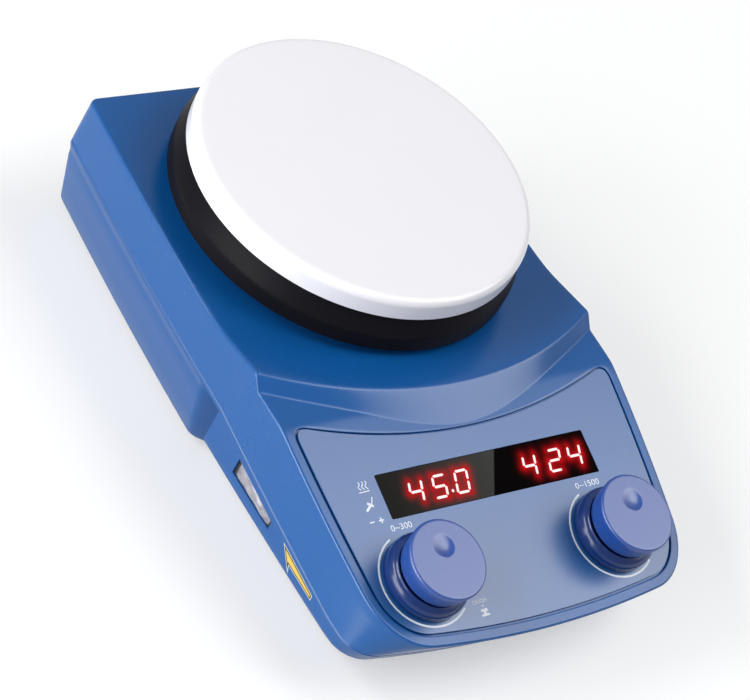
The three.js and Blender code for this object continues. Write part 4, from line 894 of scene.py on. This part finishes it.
for side, place in knob_places.items():
    cap = make_piece(f"{side}_knob_cap", set_on_panel(cap_points, place, knob_down), cap_faces, knob_face, 50)
    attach(cap, f"{side}_button")
    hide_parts(f"{side}_knob")
    stem = make_piece(f"{side}_knob_stem", set_on_panel(stem_points, place, knob_down), stem_faces, painted_gap_shade,
                      50)
    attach(stem, f"{side}_button")
    collar = make_piece(f"{side}_collar", set_on_panel(collar_points, place, knob_down), collar_faces,
                        knob_blue, 50)
    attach(collar, "housing")
    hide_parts(f"{side}_knob_collar")


# Control label: a printed plastic sheet that is stuck into the panel's recess, with a window for the display
# and holes for the encoders' bushings.
def drawn_mesh(name, curve):
    """The filled mesh of a curve."""
    drawn = bpy.data.objects.new(name, curve)
    scene.collection.objects.link(drawn)
    mesh = bpy.data.meshes.new_from_object(drawn.evaluated_get(bpy.context.evaluated_depsgraph_get()))
    bpy.data.objects.remove(drawn)
    return mesh


def mesh_points(mesh):
    """A mesh's points as an array."""
    points = np.zeros(len(mesh.vertices) * 3)
    mesh.vertices.foreach_get("co", points)
    return points.reshape(-1, 3)


def flat_sheet(name, loops, low, high, material, turn=np.eye(3), place=(0, 0, 0)):
    """A sheet between two heights, filled inside the first closed loop of x and y and outside the others,
    then turned and placed."""
    curve = bpy.data.curves.new(name, "CURVE")
    curve.dimensions = "2D"
    curve.fill_mode = "BOTH"
    curve.extrude = (high - low) / 2000
    for loop in loops:
        loop = np.asarray(loop, float) / 1000
        spline = curve.splines.new("POLY")
        spline.points.add(len(loop) - 1)
        weighted = np.column_stack([loop, np.zeros(len(loop)), np.ones(len(loop))])
        spline.points.foreach_set("co", weighted.ravel())
        spline.use_cyclic_u = True
    mesh = drawn_mesh(name, curve)
    whole = bmesh.new()
    whole.from_mesh(mesh)
    bmesh.ops.remove_doubles(whole, verts=whole.verts, dist=1e-6)
    bmesh.ops.recalc_face_normals(whole, faces=whole.faces)
    whole.to_mesh(mesh)
    whole.free()
    points = (mesh_points(mesh) * 1000 + [0, 0, (low + high) / 2]) @ np.asarray(turn).T + place
    mesh.vertices.foreach_set("co", (points / 1000).ravel())
    mesh.name = name
    return shown(name, mesh, material)


def round_hole(x, y, radius, count=48):
    """A circle as a closed loop."""
    angle = np.arange(count) / count * 2 * math.pi
    return np.stack([x + radius * np.cos(angle), y + radius * np.sin(angle)], 1)


def round_rectangle(left, low, right, high, corner, steps=6):
    """A rectangle with quarter circles at its corners, as a closed loop."""
    turn = np.linspace(0, math.pi / 2, steps)
    loop = []
    for quarter_turn, x, y in ((0, right, high), (1, left, high), (2, left, low), (3, right, low)):
        angle = turn + quarter_turn * math.pi / 2
        inward = np.array([1 if x == left else -1, 1 if y == low else -1])
        around = np.stack([np.cos(angle), np.sin(angle)], 1)
        loop.append([x, y] + corner * (inward + around))
    return np.concatenate(loop)


label_outline = whole_loop(label_loop(0.0))[:-1] * [1, -1]
window_half, window_top, window_low = 48.7, 21.0, 38.3
window_hole = round_rectangle(-window_half, -window_low, window_half, -window_top, 0.6)
bushing_holes = [round_hole(place, -knob_down, 4.9) for place in knob_places.values()]
label_blue = moulded("overlay_film", (0.009, 0.085, 0.275), (0.011, 0.093, 0.293), 0.33, grain=0.0005,
                     bump=0.000006,
                     specular=1.0)
label = flat_sheet("control_label", [label_outline, window_hole, *bushing_holes], -0.8, 0, label_blue,
                   panel_turn,
                   on_panel(np.zeros(2), 0))
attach(label, "housing")
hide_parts("panel_overlay")


# Display: a smoked lens over two light modules of three digits each. The lit segments stand near white in a
# red halo, which is painted glow in the lens's emission. The lens also carries a grey painted reflection of
# the room in its colour and is black beside that.
digit_top, digit_high, digit_wide, digit_lean = 26.2, 8.1, 5.4, 0.25
digit_places = ((-35.7, "4"), (-25.0, "5"), (-14.8, "0"), (17.3, "4"), (29.3, "2"), (39.1, "4"))
point_place = (-18.7, 32.9)
segment_half, segment_gap = 0.47, 0.25
segment_height, segment_deep = 0.03, 0.025
segment_ends = {"a": (0, 0, 1, 0), "b": (1, 0, 1, 0.5), "c": (1, 0.5, 1, 1), "d": (0, 1, 1, 1),
                "e": (0, 0.5, 0, 1), "f": (0, 0, 0, 0.5), "g": (0, 0.5, 1, 0.5)}
segments_lit = {"0": "abcdef", "2": "abged", "4": "fgbc", "5": "afgcd"}


def lit_segments():
    """Ends of every lit segment on the panel, as x and distance down the slope. The digits lean to the
    right."""
    ends = []
    for left, digit in digit_places:
        for letter in segments_lit[digit]:
            share = np.array(segment_ends[letter], float).reshape(2, 2) * [digit_wide, digit_high]
            ends.append(share + [left, digit_top] - np.stack([share[:, 1] * digit_lean, share[:, 1] * 0], 1))
    return np.array(ends)


lit = lit_segments()
run = lit[:, 1] - lit[:, 0]
length = np.linalg.norm(run, axis=1)
ahead = unit(run)
aside = np.stack([-ahead[:, 1], ahead[:, 0]], 1)
near, far = lit[:, 0] + ahead * segment_gap, lit[:, 1] - ahead * segment_gap
hexagons = np.stack([near, near + (ahead + aside) * segment_half, far + (aside - ahead) * segment_half, far,
                     far - (ahead + aside) * segment_half, near + (ahead - aside) * segment_half], 1)
hexagons = np.concatenate([hexagons, round_hole(*point_place, 0.62, 6)[None, ::-1]])
segment_points = on_panel(hexagons.reshape(-1, 2), segment_height)
segment_faces = np.arange(len(segment_points)).reshape(-1, 6).tolist()
panel_normal = np.array([0, -math.sin(panel_slope), math.cos(panel_slope)])
glow = {"Base Color": (0.3, 0.25, 0.24, 1), "Emission Color": (1.0, 0.82, 0.80, 1), "Emission Strength": 0.85}
segment_points, segment_faces = thickened(segment_points, segment_faces, segment_deep, panel_normal)
digits = make_piece("lit_digits", segment_points, segment_faces, new_material("lit_segments", glow)[0])
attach(digits, "housing")

window_fit, lens_wall, lens_round = 0.15, 1.45, 0.15
lens_u = np.concatenate([[0, 0.0015], np.linspace(0.0045, 0.9955, 230), [0.9985, 1]])
lens_v = np.concatenate([[0, 0.008], np.linspace(0.025, 0.975, 44), [0.992, 1]])
lens_x = (-window_half + window_fit) + 2 * (window_half - window_fit) * lens_u
lens_down = (window_top + window_fit) + (window_low - window_top - 2 * window_fit) * lens_v
lens_flat = np.stack(np.meshgrid(lens_x, lens_down), -1)
at_rim = (np.minimum(lens_u, 1 - lens_u) < 1e-9)[None, :] | (np.minimum(lens_v, 1 - lens_v) < 1e-9)[:, None]
lens_grid = on_panel(lens_flat, 0) - (lens_round * at_rim)[..., None] * panel_normal
lens_faces = quads(*lens_grid.shape[:2])[:, ::-1].tolist()

# The painted glow of the halo fades with the distance to each lit segment. The painted reflection of the room
# ends at a slanting line and grows lighter to the right.
flat = lens_flat.reshape(-1, 1, 2)
share = np.clip(((flat - lit[:, 0]) * run).sum(-1) / length ** 2, 0, 1)
distance = np.linalg.norm(flat - lit[:, 0] - run * share[..., None], axis=-1)
# Painted glow: the lens's emission is red near the lit segments.
painted_halo_glow = 1 - np.exp(-1.25 * np.exp(-(distance / 1.25) ** 1.3).sum(-1))
# Painted reflection of the room: the lens's base colour turns grey left of a slanting line, lighter towards
# the right, and dark under the halo.
split_top, split_low, split_soft = 6.6, -2.0, 0.3
lens_right, lens_fall = lens_flat[..., 0].ravel(), lens_flat[..., 1].ravel()
split_at = split_top + (split_low - split_top) * (lens_fall - window_top) / (window_low - window_top)
before_split = np.clip((split_at - lens_right) / split_soft, 0, 1)
reflection_brighter = 0.30 + 0.70 * np.clip((lens_right + window_half) / 55, 0, 1) ** 1.3
painted_reflection_tone = (1 - painted_halo_glow) * before_split * reflection_brighter
smoked = {"Roughness": 0.16, "Specular IOR Level": 0.0, "Emission Strength": 1.0}
lens_black, lens_tree, lens_surface = new_material("window_tint", smoked)
lens_tones = (("painted_halo_glow", "Emission Color", (0, 0, 0), (0.60, 0.004, 0.008)),
              ("painted_reflection_tone", "Base Color", (0.003, 0.0025, 0.0025), (0.05, 0.05, 0.047)))
for field, socket, dull, bright in lens_tones:
    strength = lens_tree.nodes.new("ShaderNodeAttribute")
    strength.attribute_name = field
    toned(lens_tree, strength.outputs["Fac"], dull, bright, lens_surface.inputs[socket])
window = make_piece("smoked_lens", *thickened(lens_grid.reshape(-1, 3), lens_faces, lens_wall), lens_black)
for field, values in (("painted_halo_glow", painted_halo_glow), ("painted_reflection_tone", painted_reflection_tone)):
    stored = window.data.attributes.new(field, "FLOAT", "POINT")
    stored.data.foreach_set("value", np.concatenate([values, values]).astype(np.float32))
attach(window, "housing")
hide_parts("display_window")


# White print on the label: an arc and a range beside each knob, marks for heating and stirring beside the
# display, and the push mark between the knobs. It is one thin layer of screen ink.
ink = moulded("white_ink", (0.72, 0.76, 0.82), (0.78, 0.82, 0.88), 0.5, grain=0.0004, bump=0.000004)
ink_height = 0.035
ink_deep = 0.03
arc_radius = 17.9
arc_wide = 0.75
arc_angle = np.radians(np.linspace(247, 50, 80))


def facing(outward, points, faces):
    """The faces as lists, all turned round if the first one looks away from a direction."""
    a, b, c = points[list(faces[0])[:3]]
    step = 1 if np.dot(np.cross(b - a, c - a), outward) > 0 else -1
    return [list(face)[::step] for face in faces]


def inked(name, places, faces=None):
    """A printed mark from panel places of x and distance down. Without faces it is one face round its
    outline."""
    lifted = on_panel(np.asarray(places, float), ink_height)
    faces = facing(panel_normal, lifted, faces or [range(len(lifted))])
    mark = make_piece(name, *thickened(lifted, faces, ink_deep, panel_normal), ink)
    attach(mark, "housing")


def stroke(name, x, down, wide):
    """A printed line of even width: its middle line moved square to its run by half the width to both
    sides."""
    path = np.stack([x, down], 1)
    inked(name, np.concatenate([moved_aside(path, -wide / 2), moved_aside(path, wide / 2)]),
          quads(2, len(path)).tolist())


def lettering(name, words, left, down, high, wide):
    """Words in screen ink from the left end of their base line, scaled to a height and a width."""
    curve = bpy.data.curves.new(name, "FONT")
    curve.body = words
    mesh = drawn_mesh(name, curve)
    points = mesh_points(mesh)[:, :2]
    points = (points - points.min(0)) / (points.max(0) - points.min(0)) * [wide, -high] + [left, down]
    inked(name, points, [list(face.vertices) for face in mesh.polygons])


for side, place in knob_places.items():
    x, down = place + arc_radius * np.cos(arc_angle), knob_down + arc_radius * np.sin(arc_angle)
    stroke(f"{side}_arc", x, down, arc_wide)
wave = np.linspace(0, 1, 16)
for number, left in enumerate((-56.5, -55.0, -53.5)):
    x = left + 0.45 * np.sin(wave * 2.4 * math.pi) - 0.2 * wave
    stroke(f"heat_wave_{number + 1}", x, 22.3 + 3.1 * wave, 0.34)
stroke("heat_line", (-57.6, -55.3, -53.0), (26.2, 26.15, 26.1), 0.36)
bend = np.linspace(0, 1, 14)
stroke("stir_handle", -55.2 - 2.4 * bend, 31.5 + 1.8 * bend, 0.9)
stroke("stir_blade", -56.2 + 2.2 * bend, 30.5 + 1.5 * bend, 0.95)
stroke("stir_hook", -54.9 + 2.6 * bend - 0.8 * bend ** 2, 31.0 - 2.3 * bend + 0.3 * np.sin(bend * 6), 0.4)
stroke("less_mark", (-58.4, -57.4, -56.4), (37.6, 37.6, 37.6), 0.5)
inner_left, inner_right, outer_left, outer_right = -53.55, -53.05, -54.4, -52.2
inner_top, inner_low, outer_top, outer_low = 37.35, 37.85, 36.5, 38.7
inked("more_mark", [(inner_left, outer_top), (inner_right, outer_top), (inner_right, inner_top),
                    (outer_right, inner_top), (outer_right, inner_low), (inner_right, inner_low),
                    (inner_right, outer_low), (inner_left, outer_low), (inner_left, inner_low),
                    (outer_left, inner_low), (outer_left, inner_top), (inner_left, inner_top)])
inked("push_pointer", [(-27.6, 75.9), (-26.6, 75.9), (-27.1, 76.8)])
inked("push_cap", round_rectangle(-28.7, 77.3, -25.7, 78.3, 0.3))
inked("push_stem", [(-27.8, 78.3), (-26.6, 78.3), (-26.6, 79.2), (-27.8, 79.2)])
inked("push_foot", round_rectangle(-29.0, 79.2, -25.5, 80.0, 0.25))
lettering("left_range", "0~300", -50.9, 42.5, 2.3, 9.2)
lettering("right_range", "0~1500", 35.0, 42.9, 2.3, 11.4)
lettering("push_word", "ON/OFF", -30.9, 75.1, 1.5, 6.6)


# Power switch: a black rocker in a black frame behind the cut-out, under a clear silicone boot that keeps
# water out and is clamped by a black gasket.
black_plastic = moulded("black_plastic", (0.012, 0.012, 0.013), (0.018, 0.018, 0.019), 0.42, bump=0.00002)
# The boot's colour varies in small specks from dark grey to pale lilac. These are painted highlights and
# painted shade of the film's folds.
boot_silicone = moulded("boot_silicone", (0.10, 0.10, 0.13), (0.62, 0.60, 0.68), 0.08, grain=0.0035,
                        bump=0.0009,
                        drift=0.004, specular=0.8)
boot_surface = boot_silicone.node_tree.nodes["Principled BSDF"]
boot_surface.inputs["IOR"].default_value = 1.41
boot_surface.inputs["Transmission Weight"].default_value = 0.25
boot_low, boot_high = placed(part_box("switch_boot"))
boot_rear, boot_front = boot_high[1] - 0.9, boot_low[1] + 1.1
boot_fit, boot_sunk, boot_wall = 0.12, 0.9, 0.6
boot_rim, boot_limit = -75.8, 79.5


def skirt_wall(y, z):
    """Half width of the skirt's outer face at a place and height, a straight line from the seam to the
    foot."""
    share = (seam_at(y) - z) / (seam_at(y) - skirt_foot)
    return np.interp(-y, -side_run[:, 1], side_run[:, 0]) * (1 - share) + skirt_half(y) * share


s, t = np.meshgrid(np.concatenate([[-1, -0.999], np.linspace(-0.985, 0.985, 44), [0.999, 1]]),
                   np.concatenate([[-1, -0.999], np.linspace(-0.97, 0.97, 20), [0.999, 1]]))
boot_y = boot_rear + (boot_front - boot_rear) * (s + 1) / 2
boot_top = seam_at(boot_y) - switch_lintel - boot_fit
boot_z = (switch_sill + boot_fit) + (boot_top - switch_sill - boot_fit) * (t + 1) / 2

# The film bulges as a flat dome and shows the rocker's two halves and a few folds
dome = np.clip((1 - s ** 8) * (1 - t ** 6), 0, 1)
rocker_ends = np.tanh(6 * (0.82 - np.abs(s))) * np.tanh(4 * (0.62 - np.abs(t + 0.1)))
rocker_face = rocker_ends * np.tanh(5 * (np.abs(s + 0.1) - 0.12))
folds = 0.22 * np.sin(7 * s + 3 * t) * np.sin(4 * t - 2 * s) + 0.3 * rocker_face
boot_x = -np.minimum(skirt_wall(boot_y, boot_z) - boot_sunk + 0.8 * dome + folds * dome, boot_limit)
boot_x = np.where((np.abs(s) == 1) | (np.abs(t) == 1), boot_rim, boot_x)
boot_points = np.stack([boot_x, boot_y, boot_z], -1).reshape(-1, 3)
boot_faces = facing((-1, 0, 0), boot_points, quads(*s.shape).tolist())
boot = make_piece("silicone_boot", *thickened(boot_points, boot_faces, boot_wall), boot_silicone, 60)
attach(boot, "housing")
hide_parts("switch_boot")


def gasket_loop(gap):
    """Places of y and z round the cut-out, drawn in by a gap: along the sill, up the front, back under the
    seam."""
    rear, ahead = switch_rear - gap * 2.2, switch_front + gap * 2.2
    along = np.linspace(rear, ahead, 13)
    lintel_line = seam_at(along) - switch_lintel - gap
    sill_line = np.full_like(along, switch_sill + gap)
    front_z = np.linspace(sill_line[-1], lintel_line[-1], 7)[1:-1]
    rear_z = np.linspace(lintel_line[0], sill_line[0], 7)[1:-1]
    y = np.concatenate([along, np.full_like(front_z, ahead), along[::-1], np.full_like(rear_z, rear)])
    return y, np.concatenate([sill_line, front_z, lintel_line[::-1], rear_z])


# The gasket lines the cut-out's walls in black. This is partly a real part and partly painted shade of the
# slots at the boot's ends.
gasket_rows = []
for gap, sunk in ((0.06, 0.7), (0.6, 0.7), (0.6, 1.9), (0.06, 1.9), (0.06, 0.7)):
    y, z = gasket_loop(gap)
    row = np.stack([sunk - skirt_wall(y, z), y, z], 1)
    gasket_rows.append(np.concatenate([row, row[:1]]))
gasket_points, gasket_faces = weld([np.stack(gasket_rows)])
gasket = make_piece("boot_gasket", gasket_points, gasket_faces, black_plastic)
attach(gasket, "housing")


def dressed(node, name, material, width, body):
    """A copy of a frame node with its flat faces merged and its sharp edges rounded by a width."""
    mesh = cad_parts[node].data.copy()
    whole = bmesh.new()
    whole.from_mesh(mesh)
    bmesh.ops.remove_doubles(whole, verts=whole.verts, dist=1e-6)
    bmesh.ops.dissolve_limit(whole, angle_limit=math.radians(1.5), verts=whole.verts, edges=whole.edges)
    whole.to_mesh(mesh)
    whole.free()
    mesh.name = name
    made = shown(name, mesh, material)
    edges = made.modifiers.new("edges", "BEVEL")
    edges.width = width / 1000
    edges.segments = 2
    edges.limit_method = "ANGLE"
    edges.angle_limit = math.radians(35)
    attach(made, body)
    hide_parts(node)


dressed("power_rocker", "rocker", black_plastic, 0.3, "rocker")
dressed("power_switch_body", "switch_frame", black_plastic, 0.2, "housing")


# Arrow sticker: cut from yellow film with a black line and a pale edge, stuck on the left skirt so that it
# points at the switch.
arrow_outline = np.array([(-62.3, 27.9), (-70.6, 20.1), (-69.3, 23.2), (-84.5, 22.7), (-84.3, 25.0)])
film_deep = 0.04


def arrow(name, inset, height, dark, light):
    """The arrow's outline drawn in by an inset, as a thin film on the skirt at a height over its wall."""
    run = unit(np.roll(arrow_outline, -1, axis=0) - arrow_outline)
    inward = np.stack([run[:, 1], -run[:, 0]], 1)
    before = np.roll(inward, 1, axis=0)
    corner = (inward + before) / (1 + (inward * before).sum(1, keepdims=True))
    y, z = (arrow_outline + corner * inset).T
    points = np.stack([-(skirt_wall(y, z) + height), y, z], 1)
    faces = facing((-1, 0, 0), points, [[0, 1, 2], [0, 2, 4], [2, 3, 4]])
    colour = moulded(name.replace("arrow", "sticker"), dark, light, 0.35, grain=0.0005, bump=0.000004)
    film = make_piece(name, *thickened(points, faces, film_deep, (-1, 0, 0)), colour)
    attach(film, "housing")


arrow("arrow_edge", 0.0, 0.05, (0.56, 0.54, 0.40), (0.62, 0.60, 0.46))
arrow("arrow_line", 0.32, 0.07, (0.006, 0.006, 0.005), (0.009, 0.009, 0.008))
arrow("arrow_face", 0.8, 0.09, (0.62, 0.42, 0.07), (0.68, 0.47, 0.09))


# Floor of the lower shell: the moulded plate between the tub's walls, with a row of slots that let cool air
# in. It is one piece with the walls on the real stirrer.
floor_low, floor_high = bottom_height + 0.05, bottom_height + shell_wall
vent_pitch, vent_wide, vent_long, vent_middle, vent_count = 9.0, 3.0, 30.0, -43.0, 7
tub_bottom = tub_grid[-1][:-1, :2]
bottom_run = np.roll(tub_bottom, -1, axis=0) - np.roll(tub_bottom, 1, axis=0)
bottom_run = bottom_run / np.maximum(np.linalg.norm(bottom_run, axis=1, keepdims=True), 1e-6)
tub_bottom = tub_bottom + 0.9 * np.stack([bottom_run[:, 1], -bottom_run[:, 0]], 1)
vents = [round_rectangle(x - vent_wide / 2, vent_middle - vent_long / 2, x + vent_wide / 2,
                         vent_middle + vent_long / 2, 1.2)
         for x in (np.arange(vent_count) - (vent_count - 1) / 2) * vent_pitch]
tub_floor = flat_sheet("tub_floor", [tub_bottom, *vents], floor_low, floor_high, lower_shell)
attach(tub_floor, "housing")


# Feet: four round pads of moulded black rubber with a rounded edge and a hollow underneath. A nub on each is
# pressed into a hole in the floor.
foot_rubber = moulded("foot_rubber", (0.010, 0.010, 0.011), (0.016, 0.016, 0.017), 0.75, grain=0.0009,
                      bump=0.00004,
                      specular=0.3)
pad_round, pad_hollow, nub_radius = 0.8, 0.7, 2.95
pad_high = bottom_height - 0.05
for place in ("front_left", "front_right", "rear_left", "rear_right"):
    pad_low, pad_top = placed(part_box(f"foot_{place}"))
    pad_middle = (pad_low + pad_top) / 2
    pad_radius = (pad_top[0] - pad_low[0]) / 2
    pad_profile = [(0, pad_hollow), (pad_radius - 3, pad_hollow), (pad_radius - 2.6, 0)]
    pad_profile += quarter(pad_radius - pad_round, pad_round, pad_round, -90, 0, 6)
    pad_profile += quarter(pad_radius - pad_round, pad_high - pad_round, pad_round, 0, 90, 6)
    pad_profile += [(nub_radius, pad_high), (nub_radius, pad_top[2] - 0.4), (nub_radius - 0.4, pad_top[2]),
                    (0, pad_top[2])]
    pad_points, pad_faces = turned_piece(pad_profile, 64, pad_middle[0], pad_middle[1])
    pad = make_piece(f"pad_{place}", pad_points, pad_faces, foot_rubber)
    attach(pad, "housing")
    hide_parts(f"foot_{place}")


# Back: a moulded panel of black plastic, with the mains inlet, its three pins and fuse drawer, and the metal
# socket for the temperature probe.
panel_black = moulded("panel_black", (0.016, 0.017, 0.019), (0.022, 0.023, 0.025), 0.5, grain=0.0005,
                      bump=0.00002)
steel = moulded("steel", (0.50, 0.50, 0.51), (0.58, 0.58, 0.59), 0.28, grain=0.0004, bump=0.000006)
steel.node_tree.nodes["Principled BSDF"].inputs["Metallic"].default_value = 1.0
dressed("rear_panel", "back_panel", panel_black, 0.25, "housing")
dressed("mains_inlet", "inlet_shell", black_plastic, 0.3, "housing")
dressed("fuse_drawer", "fuse_tray_front", black_plastic, 0.2, "fuse_tray")
for pin in ("live", "earth", "neutral"):
    dressed(f"inlet_pin_{pin}", f"pin_{pin}", steel, 0.35, "housing")
dressed("probe_socket", "probe_ring", steel, 0.3, "housing")


# Probe contacts: five plated pins with round ends that stand in a black insulating disc at the bottom of the
# probe socket, pressed in from behind.
probe_low, probe_high = placed(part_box("probe_socket"))
probe_middle = (probe_low + probe_high) / 2
insulator_radius, insulator_high, insulator_sunk = 5.7, 3.9, 7.9
contact_ring, contact_radius, contact_high, contact_count = 2.9, 0.55, 2.6, 5
facing_back = np.array([[1, 0, 0], [0, 0, 1], [0, -1, 0]])


def set_on_back(points, x, z, y):
    """Points of a piece that is upright about its own axis, laid so that it looks to the rear, at a place."""
    return points @ facing_back + [x, y, z]


disc_points, disc_faces = turned_piece([(0, 0), (insulator_radius, 0),
                                        (insulator_radius, insulator_high - 0.3),
                                        (insulator_radius - 0.3, insulator_high), (0, insulator_high)], 64)
disc_points = set_on_back(disc_points, probe_middle[0], probe_middle[2], probe_high[1] - insulator_sunk)
disc = make_piece("probe_insulator", disc_points, disc_faces, black_plastic)
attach(disc, "housing")
contact_points, contact_faces = turned_piece([(0, 0), (contact_radius, 0), (contact_radius, contact_high)]
                                             + quarter(0, contact_high, contact_radius, 0, 90, 6), 24)
for number in range(contact_count):
    turn = 2 * math.pi * number / contact_count
    x, z = probe_middle[0] + contact_ring * math.sin(turn), probe_middle[2] + contact_ring * math.cos(turn)
    standing = set_on_back(contact_points, x, z, probe_high[1] - insulator_sunk + insulator_high)
    contact = make_piece(f"probe_contact_{number + 1}", standing, contact_faces, steel)
    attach(contact, "housing")


# Rod bush: a bush turned from steel, with a flange that rests on the deck. Its bore has a cut thread of
# 1.5 mm pitch that takes the stand's rod.
bush_low, bush_high = placed(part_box("rod_bush"))
bush_middle = (bush_low + bush_high) / 2
flange_radius, flange_foot = (bush_high[0] - bush_low[0]) / 2, bush_high[2] - 1.2
body_radius, bore_radius, thread_pitch, thread_deep, thread_fade = 5.5, 4.2, 1.5, 0.55, 0.8
bore_foot, bore_mouth = bush_low[2] + 2.0, bush_high[2] - 0.9
bush_profile = [(0, bush_low[2]), (body_radius - 0.4, bush_low[2]), (body_radius, bush_low[2] + 0.4),
                (body_radius, flange_foot), (flange_radius - 0.2, flange_foot),
                (flange_radius, flange_foot + 0.2), (flange_radius, bush_high[2] - 0.4),
                (flange_radius - 0.4, bush_high[2]), (bore_radius + 0.9, bush_high[2])]
bore_first = len(bush_profile)
bush_profile += [(bore_radius, height) for height in np.linspace(bore_mouth, bore_foot, 110)]
bush_profile += [(0, bore_foot)]
bush_grid = turned(bush_profile, 72)
bore = bush_grid[bore_first:-1]
bush_turn = np.linspace(0, 1, bore.shape[1])
ridge = np.abs(2 * ((bore[..., 2] / thread_pitch - bush_turn) % 1) - 1)
from_ends = np.minimum(bore_mouth - bore[..., 2], bore[..., 2] - bore_foot)
bore[..., :2] *= (1 + np.clip(from_ends / thread_fade, 0, 1) * ridge * thread_deep / bore_radius)[..., None]
bush_points, bush_faces = weld([bush_grid[::-1] + [bush_middle[0], bush_middle[1], 0]])
bush = make_piece("threaded_bush", bush_points, bush_faces, steel)
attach(bush, "housing")
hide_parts("rod_bush")


# Screws of the back panel: four pan heads of steel with a cross recess, one near each corner, which fix the
# panel to the housing.
screw_across, screw_low, screw_top = 50.0, 18.0, 38.5
screw_radius, screw_high, screw_rim = 2.6, 1.5, 0.4
cross_half, cross_reach, cross_deep = 0.42, 1.5, 0.9
panel_back = placed(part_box("rear_panel"))[1][1]
head_radii = np.linspace(screw_radius, 0, 30)[1:]
head_heights = screw_rim + (screw_high - screw_rim) * np.sqrt(1 - (head_radii / screw_radius) ** 2.6)
head_grid = turned([(0, 0), (screw_radius, 0), (screw_radius, screw_rim), *zip(head_radii, head_heights)], 96)
head_x, head_y = np.abs(head_grid[..., 0]), np.abs(head_grid[..., 1])
in_cross = (np.minimum(head_x, head_y) < cross_half) & (np.maximum(head_x, head_y) < cross_reach)
on_top = head_grid[..., 2] > screw_rim
head_grid[..., 2] -= np.where(in_cross & on_top, cross_deep * (1 - np.maximum(head_x, head_y) / 3), 0)
head_points, head_faces = weld([head_grid[::-1]])
for side, across in (("left", -screw_across), ("right", screw_across)):
    for level, height in (("low", screw_low), ("top", screw_top)):
        screw_points = set_on_back(head_points, across, height, panel_back + 0.02)
        screw = make_piece(f"panel_screw_{side}_{level}", screw_points, head_faces, steel)
        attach(screw, "housing")


# Inside: motor, magnets, heater, boards and power parts keep the frame's shapes and get real finishes through
# their material slots.
finishes = {
    "black_plastic": black_plastic,
    "steel": steel,
    "foot_rubber": foot_rubber,
    "lower_shell": lower_shell,
    "aluminium": moulded("aluminium", (0.62, 0.62, 0.63), (0.70, 0.70, 0.71), 0.34, grain=0.0005,
                         bump=0.00001),
    "brass": moulded("brass", (0.62, 0.43, 0.16), (0.70, 0.50, 0.20), 0.3, grain=0.0005, bump=0.000006),
    "board": moulded("board", (0.012, 0.085, 0.035), (0.016, 0.105, 0.045), 0.45, grain=0.0012, bump=0.00001),
    "insulation": moulded("insulation", (0.60, 0.57, 0.50), (0.70, 0.67, 0.60), 0.9, grain=0.0009,
                          bump=0.0002),
    "heater": moulded("heater", (0.20, 0.13, 0.08), (0.26, 0.17, 0.11), 0.6, grain=0.0007, bump=0.00003),
    "magnet": moulded("magnet", (0.30, 0.30, 0.31), (0.36, 0.36, 0.37), 0.3, grain=0.0004, bump=0.000008),
    "core": moulded("core", (0.09, 0.085, 0.08), (0.13, 0.12, 0.11), 0.5, grain=0.0006, bump=0.00004),
    "glass": moulded("glass", (0.55, 0.60, 0.56), (0.62, 0.66, 0.62), 0.15, grain=0.0008, bump=0.000004),
}
for metal in ("aluminium", "brass", "magnet"):
    finishes[metal].node_tree.nodes["Principled BSDF"].inputs["Metallic"].default_value = 1.0
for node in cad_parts.values():
    for holder in node.material_slots:
        finish = holder.material.name.split(".")[0]
        if finish in finishes:
            holder.material = finishes[finish]
